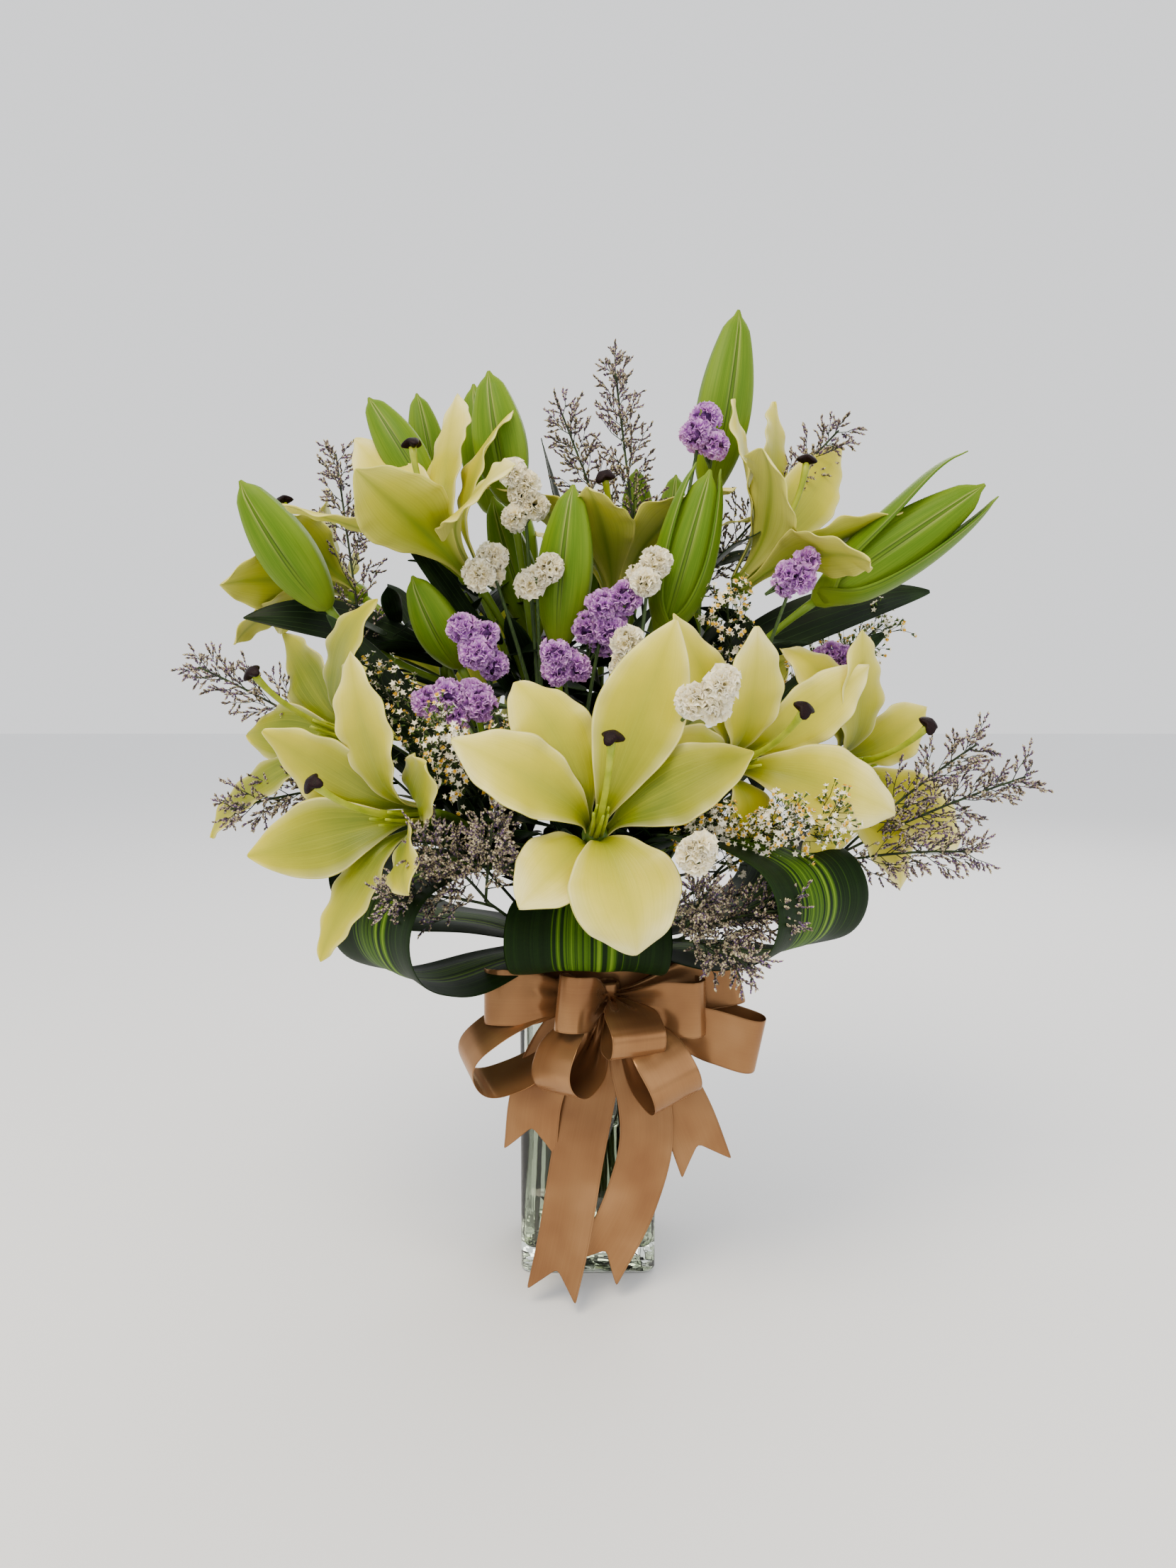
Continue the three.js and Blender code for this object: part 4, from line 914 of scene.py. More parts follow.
# Each petal's lime value is partly its own green and partly painted shade. It pulls the face's tone down
# towards the dark olive end of the ramp.
lime_and_shade = add_node(petal_face, "Attribute", attribute_name="lime_and_shade").outputs["Fac"]
ripe_and_lit = add_node(
    petal_face, "Math", {1: -0.7}, {0: lime_and_shade, 2: spread}, operation="MULTIPLY_ADD"
)
length_tone = add_node(
    petal_face, "ValToRGB", feeds={"Fac": ripe_and_lit},
    stops=[
        (0.0, "#64720C"), (0.2, "#7F840A"), (0.4, "#9C9A0A"), (0.58, "#B9B018"),
        (0.74, "#CEC33E"), (0.88, "#DFD266"), (1.0, "#ECE190"),
    ],
)
margin = add_node(
    petal_face, "ValToRGB", feeds={"Fac": aside}, stops=[(0.34, 0.0), (0.47, 0.2), (0.496, 0.5)],
)
edged = add_node(
    petal_face, "Mix", {"B": linear("#F2E9B8")},
    {"Factor": margin, "A": length_tone}, data_type="RGBA",
)
line = add_node(
    petal_face, "ValToRGB", feeds={"Fac": aside},
    stops=[(0.0, 0.1), (0.008, 0.5), (0.022, 0.2), (0.1, 0.0)],
)
line_fade = add_node(
    petal_face, "MapRange", {"From Min": 0.2, "From Max": 0.9, "To Min": 1.0, "To Max": 0.15},
    {"Value": place_on.outputs["Y"]},
)
groove = add_node(
    petal_face, "Math", feeds={0: line, 1: line_fade}, operation="MULTIPLY"
)
grooved = add_node(
    petal_face, "Mix", {"B": linear("#A3A526")},
    {"Factor": groove, "A": edged}, data_type="RGBA",
)
fine = add_node(petal_face, "Mapping", {"Scale": (44, 1.1, 1)}, {"Vector": uv})
veins = add_node(petal_face, "TexNoise", {"Scale": 1.0, "Detail": 2}, {"Vector": fine})
veined = add_node(
    petal_face, "MapRange", {"From Min": 0.4, "From Max": 0.7, "To Min": 0.0, "To Max": 0.24},
    {"Value": veins},
)
flesh = add_node(
    petal_face, "Mix", {"B": linear("#A9AA24")},
    {"Factor": veined, "A": grooved}, data_type="RGBA",
)
grain = add_node(petal_face, "TexNoise", {"Scale": 900, "Detail": 1}, {"Vector": at})
bumps = add_node(
    petal_face, "Math", {1: 0.25}, {0: grain, 2: veins}, operation="MULTIPLY_ADD"
)
relief = add_node(petal_face, "Bump", {"Strength": 0.35, "Distance": 0.0005}, {"Height": bumps})
surface_of(
    petal_face,
    {
        "Roughness": 0.42, "Specular IOR Level": 0.3, "Subsurface Weight": 0.15,
        "Subsurface Scale": 0.004, "Subsurface Radius": (0.9, 1.0, 0.3),
    },
    {"Base Color": flesh, "Normal": relief},
)

# The back of a petal: greener than the face, with a broad green band over its rib, a whitish
# margin, and fine streaks from end to end.
petal_back = new_material("lily petal, back")
uv = add_node(petal_back, "UVMap").outputs["UV"]
place_on = add_node(petal_back, "SeparateXYZ", feeds={"Vector": uv})
centred = add_node(petal_back, "Math", {1: 0.5}, {0: place_on.outputs["X"]}, operation="SUBTRACT")
aside = add_node(petal_back, "Math", feeds={0: centred}, operation="ABSOLUTE")
length_tone = add_node(
    petal_back, "ValToRGB", feeds={"Fac": place_on.outputs["Y"]},
    stops=[(0.0, "#566C10"), (0.2, "#6E7E12"), (0.5, "#9BA01C"), (0.8, "#BDB832"), (1.0, "#CEC85C")],
)
# The same lime value, partly painted shade, keeps the back of a shaded petal dark instead of paling it.
lime_and_shade = add_node(petal_back, "Attribute", attribute_name="lime_and_shade").outputs["Fac"]
ripe_and_lit = add_node(petal_back, "Math", {1: -0.9, 2: 0.6}, {0: lime_and_shade}, operation="MULTIPLY_ADD", use_clamp=True)
ripened_and_lit = add_node(
    petal_back, "Mix", {"B": linear("#E0DA7C")},
    {"Factor": ripe_and_lit, "A": length_tone}, data_type="RGBA",
)
margin = add_node(
    petal_back, "ValToRGB", feeds={"Fac": aside}, stops=[(0.2, 0.0), (0.44, 0.4), (0.49, 0.8)],
)
edged = add_node(
    petal_back, "Mix", {"B": linear("#D8D06C")},
    {"Factor": margin, "A": ripened_and_lit}, data_type="RGBA",
)
rib_mask = add_node(
    petal_back, "ValToRGB", feeds={"Fac": aside}, stops=[(0.01, 0.75), (0.05, 0.45), (0.14, 0.0)],
)
rib_fade = add_node(
    petal_back, "MapRange", {"From Min": 0.4, "From Max": 1.0, "To Min": 1.0, "To Max": 0.5},
    {"Value": place_on.outputs["Y"]},
)
rib = add_node(
    petal_back, "Math", feeds={0: rib_mask, 1: rib_fade},
    operation="MULTIPLY",
)
ribbed = add_node(
    petal_back, "Mix", {"B": linear("#5F7614")},
    {"Factor": rib, "A": edged}, data_type="RGBA",
)
fine = add_node(petal_back, "Mapping", {"Scale": (50, 1.2, 1)}, {"Vector": uv})
veins = add_node(petal_back, "TexNoise", {"Scale": 1.0, "Detail": 2}, {"Vector": fine})
veined = add_node(
    petal_back, "MapRange", {"From Min": 0.4, "From Max": 0.7, "To Min": 0.0, "To Max": 0.3},
    {"Value": veins},
)
flesh = add_node(
    petal_back, "Mix", {"B": linear("#83891A")},
    {"Factor": veined, "A": ribbed}, data_type="RGBA",
)
relief = add_node(petal_back, "Bump", {"Strength": 0.4, "Distance": 0.0005}, {"Height": veins})
surface_of(
    petal_back,
    {
        "Roughness": 0.5, "Specular IOR Level": 0.25, "Subsurface Weight": 0.15, "Subsurface Scale": 0.004,
        "Subsurface Radius": (0.8, 1.0, 0.2),
    },
    {"Base Color": flesh, "Normal": relief},
)

petal_trees = []
for name, bloom in BLOOMS.items():
    bm = bmesh.new()
    # Each petal's lime value is stored on its vertices. Part of that value is painted shade.
    lime_and_shade = bm.verts.layers.float.new("lime_and_shade")
    for index, petal in enumerate(bloom["petals"]):
        for vert in mapped_grid(bm, PETAL_ROWS, 10, petal_place(bloom, index, petal)):
            vert[lime_and_shade] = bloom["lime_and_shade"][index]
    petal_trees.append(BVHTree.FromBMesh(bm))
    petals = hand_over(
        "lily_bloom_%s_petals" % name, bm, ["lily_bloom_" + name], "petal", petal_back, petal_face
    )
    wall = add_thickness(petals, 0.0011)
    wall.material_offset = 1
    base, axis = Vector(bloom["base"]), bloom_axis(bloom)
    bm = bmesh.new()
    heel = [base + axis * reach for reach in (-3.5, -1, 2, 6, 10)]
    add_stem(bm, heel, [3.6, 6.2, 8.6, 8.4, 6.4], 18)
    hand_over("lily_bloom_%s_heel" % name, bm, ["lily_bloom_" + name], "petal", stalk_skin)

# Pistils --------------------------------------------------------------------------------------------
# From the throat rises a pale green style with a dark, three-lobed stigma. The florist has
# pulled off the anthers, so the six filaments round it end bare.

PISTIL_LENGTH, PISTIL_RISE = 94, 30

# A style is moist and waxy; a stigma is velvety and almost black red, and glistens.
waxy_style = new_material("waxy lily style")
at = add_node(waxy_style, "TexCoord").outputs["Object"]
clouds = add_node(waxy_style, "TexNoise", {"Scale": 90, "Detail": 2}, {"Vector": at})
greens = add_node(
    waxy_style, "ValToRGB", feeds={"Fac": clouds},
    stops=[(0.3, "#83940F"), (0.7, "#A6AE2E")],
)
surface_of(
    waxy_style, {"Roughness": 0.4, "Specular IOR Level": 0.3},
    {"Base Color": greens},
)
velvet_stigma = new_material("velvety lily stigma")
at = add_node(velvet_stigma, "TexCoord").outputs["Object"]
pile = add_node(velvet_stigma, "TexNoise", {"Scale": 1400, "Detail": 1}, {"Vector": at})
reds = add_node(
    velvet_stigma, "ValToRGB", feeds={"Fac": pile}, stops=[(0.3, "#0A0203"), (0.75, "#1E080C")],
)
relief = add_node(velvet_stigma, "Bump", {"Strength": 0.6, "Distance": 0.0004}, {"Height": pile})
surface_of(
    velvet_stigma, {"Roughness": 0.5, "Specular IOR Level": 0.12},
    {"Base Color": reds, "Normal": relief},
)

for name, bloom in BLOOMS.items():
    axis = bloom_axis(bloom)
    up = (UP - axis * axis.z).normalized()
    right = up.cross(axis)
    root = Vector(bloom["base"]) + axis * 4.4
    bm = bmesh.new()
    tip = root + axis * PISTIL_LENGTH * 0.97 + up * PISTIL_RISE * 0.93
    bend = root + axis * PISTIL_LENGTH * 0.62 + up * PISTIL_RISE * 0.08
    way = bent_way(root, bend, tip, 14)
    add_stem(
        bm, way,
        [2.7 - 0.6 * smooth_step(k, 0, 8) + 0.7 * smooth_step(k, 11, 14) for k in range(15)], 12,
    )
    for k in range(6):
        a = math.radians(60 * k + 25)
        out = right * math.cos(a) + up * math.sin(a)
        length = 40 + 5 * math.sin(3.7 * k + len(name))
        end = root + axis * length + up * 4 + out * (5 + 2 * math.sin(5 * k))
        add_stem(bm, bent_way(root + out * 3.4, root + axis * length * 0.6 + out * 4, end, 6), [2.1, 0.9], 8)
    run = (way[-1] - way[-2]).normalized()
    turned = square_to(run)
    stigma = way[-1] + run * 2.6

    def knob(u, v):
        angle = 2 * math.pi * v
        radius = (
            6.6 * math.sin(math.pi * u) ** 0.6 * (1 + 0.26 * math.cos(3 * angle))
            * (1 - 0.2 * smooth_step(u, 0.5, 0))
        )
        sag = 1.6 * math.cos(3 * angle) * math.sin(math.pi * u)
        flat = Vector((math.cos(angle) * radius, math.sin(angle) * radius, (u - 0.5) * 7.6 - sag))
        return stigma + turned @ flat

    made = mapped_grid(bm, 12, 24, knob, finish=1)
    bmesh.ops.remove_doubles(bm, verts=made, dist=0.001)
    bmesh.ops.recalc_face_normals(bm, faces=bm.faces)
    hand_over("lily_pistil_%s_style" % name, bm, ["lily_pistil_" + name], "pistil", waxy_style, velvet_stigma)

# Statice --------------------------------------------------------------------------------------------
# Stiff green stems that end in one-sided heads of small, papery, crumpled cups, packed close on
# the mauve kind and in little puffs on the white. The cups are the dry calyces, which keep their
# colour. A cluster is [x, y, z, length, width, turn, lift].

BRANCH_SIDES = 7
STATICE_STEM = 1.9
GOLDEN_TURN = 2.39996


def stem_and_branches(bm, name, ends, radius):
    """A thin stem that forks to each end, the lowest branch leaving first. Gives the ways."""
    top = blend_of(necks[name], middle_of(ends), 0.6)
    add_stem(bm, stem_curve(name, top, 8), [radius, radius * 0.85], BRANCH_SIDES)
    order = sorted(range(len(ends)), key=lambda k: ends[k][2])
    ways = []
    for k, end in enumerate(ends):
        end = Vector(end[:3])
        start = fork_point(name, top, 0.15 * (len(ends) - 1 - order.index(k)) + 0.02)
        ways.append(bent_way(start, blend_of(start, end, 0.5) + UP * 8, end, 8))
        add_stem(bm, ways[-1], [radius * 0.85, radius * 0.6], BRANCH_SIDES)
    return ways


def plant(bm, shape, where, turned, size):
    """Adds a copy of a small shape at a point, with its third axis along a direction."""
    copy = shape.copy()
    copy.transform(Matrix.Translation(where) @ turned.to_4x4() @ Matrix.Scale(size, 4))
    bm.from_mesh(copy)
    bpy.data.meshes.remove(copy)


twig_shape = bpy.data.meshes.new("twig")
bm = bmesh.new()
bmesh.ops.create_cone(
    bm, cap_ends=False, segments=4, radius1=1, radius2=0.7, depth=1, matrix=Matrix.Translation((0, 0, 0.5))
)
bm.to_mesh(twig_shape)
bm.free()


def add_twig(bm, start, end, radius):
    """A short straight twig between two points."""
    run = end - start
    size = Matrix.Diagonal((radius, radius, run.length, 1))
    copy = twig_shape.copy()
    copy.transform(Matrix.Translation(start) @ square_to(run.normalized()).to_4x4() @ size)
    bm.from_mesh(copy)
    bpy.data.meshes.remove(copy)


def spun(direction, angle):
    return square_to(direction) @ Matrix.Rotation(angle, 3, "Z")


def crumpled_cup(rim, depth, folds, pick):
    """A papery funnel with a crumpled rim and a smaller one inside it; its UVs run up to the rim."""
    bm = bmesh.new()
    for share in (1, 0.58):
        before = set(bm.verts)
        bmesh.ops.create_cone(
            bm, cap_ends=False, segments=2 * folds, radius1=0.5, radius2=rim * 0.45 * share,
            depth=depth * 0.55,
            matrix=Matrix.Translation((0, 0, depth * 0.275)),
        )
        made = set(bm.verts) - before
        edges = [e for e in bm.edges if set(e.verts) <= made and all(v.co.z > depth * 0.5 for v in e.verts)]
        grown = bmesh.ops.extrude_edge_only(bm, edges=edges)["geom"]
        ring = [g for g in grown if isinstance(g, bmesh.types.BMVert)]
        ring.sort(key=lambda v: math.atan2(v.co.y, v.co.x))
        for k, vert in enumerate(ring):
            reach = rim * share * pick.uniform(0.95, 1.2) if k % 2 else rim * share * pick.uniform(0.6, 0.85)
            flat = Vector((vert.co.x, vert.co.y, 0)).normalized() * reach
            high = depth * (pick.uniform(0.72, 0.9) if k % 2 else pick.uniform(1.0, 1.2))
            vert.co = flat + Vector((0, 0, high * (1 if share == 1 else 1.12)))
    uvs = bm.loops.layers.uv.verify()
    for face in bm.faces:
        for loop in face.loops:
            loop[uvs].uv = (0.5, min(1, loop.vert.co.z / (depth * 1.1)))
    made = bpy.data.meshes.new("cup")
    bm.to_mesh(made)
    bm.free()
    return made


# Dry statice calyx: thin as tissue and crumpled, quite matt, and each cup a little different from the next.
# Its colour runs from dark in the throat, which is painted shade in the hollow of the cup, to pale at the
# rim, which on the mauve kind is partly a painted highlight.
def papery(name, stops, odd):
    paper = new_material(name)
    uv = add_node(paper, "UVMap").outputs["UV"]
    depth = add_node(paper, "SeparateXYZ", feeds={"Vector": uv})
    # The ramp runs up the cup from throat to rim, and its dark lower stops are painted shade.
    tone = add_node(paper, "ValToRGB", feeds={"Fac": depth.outputs["Y"]}, stops=stops)
    at = add_node(paper, "TexCoord").outputs["Object"]
    patches = add_node(paper, "TexNoise", {"Scale": 150, "Detail": 2}, {"Vector": at})
    share = add_node(
        paper, "MapRange", {"From Min": 0.4, "From Max": 0.65, "To Min": 0.0, "To Max": 0.55},
        {"Value": patches},
    )
    toned = add_node(
        paper, "Mix", {"B": linear(odd)}, {"Factor": share, "A": tone},
        data_type="RGBA",
    )
    creases = add_node(paper, "TexNoise", {"Scale": 700, "Detail": 2}, {"Vector": at})
    relief = add_node(paper, "Bump", {"Strength": 0.6, "Distance": 0.0006}, {"Height": creases})
    surface_of(
        paper,
        {
            "Roughness": 0.75, "Specular IOR Level": 0.15,
            "Subsurface Weight": 0.35, "Subsurface Scale": 0.003,
            "Subsurface Radius": (1.0, 0.9, 0.9),
        },
        {"Base Color": toned, "Normal": relief},
    )
    return paper


# The dark first stop of each ramp is painted shade in the throat. The palest mauve stop at the rim is partly
# a painted highlight.
mauve_paper = papery(
    "papery mauve statice",
    [(0.0, "#55306A"), (0.35, "#9C5CAC"), (0.7, "#CB8ED6"), (1.0, "#F1CCF0")], "#A86CBC",
)
white_paper = papery(
    "papery white statice",
    [(0.0, "#9A9450"), (0.25, "#EADDA8"), (0.5, "#FDF4D2"), (1.0, "#FFFBEE")], "#FBEEC4",
)

# Statice stem: rough, ribbed and grass green.
ribbed_stem = new_material("ribbed statice stem")
at = add_node(ribbed_stem, "TexCoord").outputs["Object"]
tall = add_node(ribbed_stem, "Mapping", {"Scale": (900, 900, 60)}, {"Vector": at})
ribs = add_node(ribbed_stem, "TexNoise", {"Scale": 1.0, "Detail": 2}, {"Vector": tall})
greens = add_node(
    ribbed_stem, "ValToRGB", feeds={"Fac": ribs}, stops=[(0.3, "#1E3212"), (0.7, "#3F5A20")],
)
relief = add_node(ribbed_stem, "Bump", {"Strength": 0.5, "Distance": 0.0004}, {"Height": ribs})
surface_of(ribbed_stem, {"Roughness": 0.6}, {"Base Color": greens, "Normal": relief})

pick = random.Random("cups")
mauve_cups = [crumpled_cup(5.0, 4.8, 6, pick) for _ in range(4)]
white_cups = [crumpled_cup(6.0, 5.0, 7, pick) for _ in range(4)]


def mauve_head(stems, cups, centre, turned, length, width, pick):
    """A crooked row of lumps, each covered in cups, on bristly green forks."""
    lumps = max(3, round(length / 10))
    for k in range(lumps):
        share = (k + 0.5) / lumps * 2 - 1
        radius = width * pick.uniform(0.15, 0.22)
        aside = Vector((math.cos(2.4 * k), math.sin(2.4 * k), 0)) * width * pick.uniform(0.12, 0.24)
        middle = centre + turned @ (aside + Vector((0, 0, share * (length / 2 - radius - 2))))
        ball = Matrix.Translation(middle)
        # A ball inside each lump fills it. It takes the dark throat colour of the ramp, which is painted
        # shade for the packed inside of the head.
        bmesh.ops.create_icosphere(cups, subdivisions=1, radius=radius * 0.75, matrix=ball)
        count = int(radius * radius * 0.42) + 7
        for j in range(count):
            high = 1 - 2 * (j + 0.5) / count
            round_it = j * GOLDEN_TURN + pick.uniform(-0.4, 0.4)
            level = math.sqrt(1 - high * high)
            unit = Vector((math.cos(round_it) * level, math.sin(round_it) * level, high))
            out = (unit + Vector([pick.uniform(-0.4, 0.4) for _ in range(3)])).normalized()
            spot = middle + turned @ unit * radius * pick.uniform(0.65, 1)
            plant(
                cups, pick.choice(mauve_cups), spot, spun(turned @ out, pick.uniform(0, 6.28)),
                pick.uniform(0.75, 1.15),
            )
        foot = centre - turned @ Vector((0, 0, length * 0.62))
        add_twig(stems, foot, middle, 1.1)


def clear_of_petals(middle, room):
    """A puff's middle, moved off any petal that it would come through."""
    for tree in petal_trees:
        nearest, _, _, gap = tree.find_nearest(middle)
        if gap < room:
            middle = nearest + (middle - nearest).normalized() * room
    return middle


def white_puffs(stems, cups, centre, turned, length, width, pick):
    """A few loose puffs, each a ball of cups on a green fork."""
    count = max(3, round(length * width / 330))
    foot = centre - UP * length * 0.4 + Vector((0, 8, 0))
    for k in range(count):
        share = (k + 0.5) / count * 2 - 1
        offset = Vector((
            pick.uniform(-0.3, 0.3) * width, pick.uniform(-0.3, 0.3) * width, share * (length / 2 - 7),
        ))
        middle = centre + turned @ offset
        radius = pick.uniform(3.4, 6.2)
        middle = clear_of_petals(middle, radius + 5)
        look = (turned @ offset * 0.03 + UP * 0.7 + Vector((0, -0.5, 0))).normalized()
        puff = square_to(look)
        florets = int(radius * 3.1)
        for j in range(florets):
            high = 1 - 1.45 * (j + 0.5) / florets
            level = math.sqrt(1 - high * high)
            angle = j * GOLDEN_TURN
            unit = Vector((math.cos(angle) * level, math.sin(angle) * level, high))
            unit = (unit + Vector([pick.uniform(-0.2, 0.2) for _ in range(3)])).normalized()
            size = pick.uniform(0.8, 1.25)
            spot = middle + puff @ unit * radius * pick.uniform(0.55, 1.05)
            plant(cups, pick.choice(white_cups), spot, spun(puff @ unit, pick.uniform(0, 6.28)), size)
        add_stem(stems, [middle - look * 9, middle - look * 5, middle], [1.1, 2.6, 3.4], 7)
        add_twig(stems, foot, middle - look * 8, 1.0)
        for j in range(4):
            side = puff @ Vector((math.cos(1.6 * j), math.sin(1.6 * j), 0.3))
            add_twig(stems, middle - look * 8, middle - look * 5 + side * 5, 0.9)


for name, clusters in STATICE.items():
    pick = random.Random(name)
    mauve = "purple" in name
    stems, cups = bmesh.new(), bmesh.new()
    stem_and_branches(stems, name, clusters, STATICE_STEM)
    for x, y, z, length, width, turn, lift in clusters:
        turned = square_to(facing(turn, lift))
        (mauve_head if mauve else white_puffs)(stems, cups, Vector((x, y, z)), turned, length, width, pick)
    slot = name.rsplit("_", 1)[0]
    hand_over(name + "_stems", stems, [name], slot, ribbed_stem)
    hand_over(name + "_cups", cups, [name], slot, mauve_paper if mauve else white_paper, smooth=False)

# Sea lavender ---------------------------------------------------------------------------------------
# Wiry, much-branched sprays. The star kind ends in small white stars with a yellow eye, the
# misty kind in lines of rice-grain buds, mauve below and whitish at the tip.

def small_shape(build):
    bm = bmesh.new()
    build(bm)
    made = bpy.data.meshes.new(build.__name__)
    bm.to_mesh(made)
    bm.free()
    return made


def star_floret(bm, eye=True):
    """Five white lobes on a green calyx, with or without the yellow flower in their middle."""
    bmesh.ops.create_cone(bm, cap_ends=False, segments=5, radius1=0.35, radius2=0.95, depth=3.4)
    for face in bm.faces:
        face.material_index = 2
    lobes = bmesh.ops.create_circle(
        bm, cap_ends=True, cap_tris=True, segments=10, radius=2.7, matrix=Matrix.Translation((0, 0, 2.0))
    )["verts"]
    rim = sorted((v for v in lobes if v.co.xy.length > 1), key=lambda v: math.atan2(v.co.y, v.co.x))
    for k, vert in enumerate(rim):
        vert.co.xy *= 1 if k % 2 else 0.5
        vert.co.z += 0.35 if k % 2 else -0.2
    if not eye:
        return
    before = set(bm.faces)
    bmesh.ops.create_cone(
        bm, cap_ends=True, segments=5, radius1=0.9, radius2=1.4, depth=1.4,
        matrix=Matrix.Translation((0, 0, 2.8)),
    )
    for face in set(bm.faces) - before:
        face.material_index = 1


def mist_bud(bm):
    """A rice-grain bud: a mauve husk with a whitish tip."""
    bmesh.ops.create_cone(
        bm, cap_ends=False, segments=5, radius1=0.3, radius2=0.85, depth=1.9,
        matrix=Matrix.Translation((0, 0, 0.95)),
    )
    before = set(bm.faces)
    bmesh.ops.create_cone(
        bm, cap_ends=False, segments=5, radius1=0.85, radius2=0.08, depth=1.7,
        matrix=Matrix.Translation((0, 0, 2.75)),
    )
    for face in set(bm.faces) - before:
        face.material_index = 1


def plain_floret(bm):
    star_floret(bm, eye=False)


stars = [small_shape(star_floret), small_shape(plain_floret), small_shape(plain_floret)]
bud = small_shape(mist_bud)

# Wiry twig: thin, dry and dark green. Star lobes and mist buds are dry and papery, so they are
# matt and nearly the same from all sides.
def dry_plant(name, scale, low, high, rough):
    made = new_material(name)
    at = add_node(made, "TexCoord").outputs["Object"]
    patches = add_node(made, "TexNoise", {"Scale": scale, "Detail": 1}, {"Vector": at})
    tone = add_node(
        made, "ValToRGB", feeds={"Fac": patches}, stops=[(0.38, low), (0.62, high)]
    )
    surface_of(made, {"Roughness": rough, "Specular IOR Level": 0.3}, {"Base Color": tone})
    return made


wiry_twig = dry_plant("wiry sea lavender twig", 120, "#141F0B", "#2E3F1B", 0.6)
star_lobe = dry_plant("papery white star", 300, "#EDE3C6", "#FBF4E2", 0.7)
star_eye = dry_plant("yellow star eye", 300, "#D39A0C", "#F0C52E", 0.7)
star_calyx = dry_plant("green star calyx", 300, "#2E4718", "#5C7430", 0.7)
mist_husk = dry_plant("mauve sea lavender husk", 420, "#20260F", "#664A78", 0.75)
# The mist tips run from a dark brown to whitish. The dark end is painted shade, for sprays that sit under the
# blooms.
shaded_mist_tip = dry_plant("whitish sea lavender tip", 420, "#54443E", "#C4BA92", 0.75)


def grow_spray(twigs, flowers, way, kind, pick):
    """Side twigs all along the outer part of a branch, each of them branched and in flower."""
    mist = kind == "mist"
    reach = sum((b - a).length for a, b in zip(way, way[1:]))
    count = min(40, max(25, int(reach * 0.2)))
    for k in range(count):
        share = 0.2 + 0.8 * (k + 0.5) / count
        spot = share * (len(way) - 1)
        low = min(int(spot), len(way) - 2)
        base = blend_of(way[low], way[low + 1], spot - low)
        run = (way[low + 1] - way[low]).normalized()
        angle = k * 2.4 + pick.uniform(-0.4, 0.4)
        out = square_to(run) @ Vector((math.cos(angle), math.sin(angle), 0))
        length = min(34, 20 + 0.1 * reach) * (1.15 - 0.7 * share) * pick.uniform(0.7, 1.25)
        heading = (run * pick.uniform(0.7, 1.2) + out).normalized()
        mid = base + heading * length * 0.55
        end = mid + (heading + run * 0.35 + UP * 0.15).normalized() * length * 0.5
        add_twig(twigs, base, mid, 0.4)
        add_twig(twigs, mid, end, 0.3)
        forks = 6 if mist else 5
        for j in range(forks):
            along = 0.25 + 0.75 * j / (forks - 1)
            root = blend_of(mid, end, (along - 0.5) * 2) if along > 0.5 else blend_of(base, mid, along * 2)
            side = Vector([pick.uniform(-1, 1) for _ in range(3)])
            side = (side - heading * side.dot(heading)).normalized()
            aim = (heading + side * (0.2 if j == forks - 1 else 0.9)).normalized()
            tip = root + aim * (8.5 if mist else 7) * pick.uniform(0.7, 1.2)
            add_twig(twigs, root, tip, 0.26)
            for i in range(8 if mist else 2):
                lean = Vector([pick.uniform(-1, 1) for _ in range(3)]).normalized()
                look = (aim + UP * 0.15 + lean * 0.5).normalized()
                if mist:
                    where = blend_of(root, tip, 0.15 + 0.125 * i)
                    plant(flowers, bud, where, spun(look, i), pick.uniform(0.7, 1.05))
                else:
                    where = tip + lean * 2.4
                    plant(flowers, pick.choice(stars), where, spun(look, 2 * i + j), pick.uniform(0.75, 1.1))


SPRAY_STEM = 1.3
for name, tips in SPRAYS.items():
    kind = "star" if "star" in name else "mist"
    pick = random.Random(name)
    twigs, flowers = bmesh.new(), bmesh.new()
    for way in stem_and_branches(twigs, name, tips, SPRAY_STEM):
        grow_spray(twigs, flowers, way, kind, pick)
    slot = "sea_lavender_" + kind
    hand_over(name + "_twigs", twigs, [name], slot, wiry_twig)
    finishes = [star_lobe, star_eye, star_calyx] if kind == "star" else [mist_husk, shaded_mist_tip]
    hand_over(name + "_flowers", flowers, [name], slot, *finishes, smooth=False)

# Collar leaves --------------------------------------------------------------------------------------
# Six broad, strap-like leaves laid over the rim and folded back on themselves, so that each
# shows a full, rounded turn. They hide the stems and carry the lower blooms.

COLLARS = {
    "front": (0, 118, 238, 290),
    "right_front": (49, 206, 256, 330),
    "right_back": (118, 180, 256, 324),
    "back": (180, 122, 240, 292),
    "left_back": (-114, 196, 252, 318),
    "left_front": (-52, 188, 233, 312),
}
COLLAR_WIDTH, COLLAR_NECK = 114, 40

# A thick, glossy strap leaf: bottle green, with crisp lime stripes of uneven width that run its
# whole length, most of them in the middle third, and fine parallel veins.
striped_leaf = new_material("striped strap leaf")
uv = add_node(striped_leaf, "UVMap").outputs["UV"]
place_on = add_node(striped_leaf, "SeparateXYZ", feeds={"Vector": uv})
fresh = add_node(striped_leaf, "Math", {1: 24.0}, {0: place_on.outputs["X"]}, operation="MULTIPLY")
stripes = add_node(
    striped_leaf, "TexNoise", {"Scale": 1.0, "Detail": 3, "Roughness": 0.65}, {"W": fresh},
    noise_dimensions="1D",
)
in_middle = add_node(
    striped_leaf, "ValToRGB", feeds={"Fac": place_on.outputs["X"]},
    stops=[(0.26, 0.0), (0.36, 0.21), (0.66, 0.21), (0.74, 0.0)],
)
lift = add_node(striped_leaf, "Math", feeds={0: stripes, 1: in_middle}, operation="ADD")
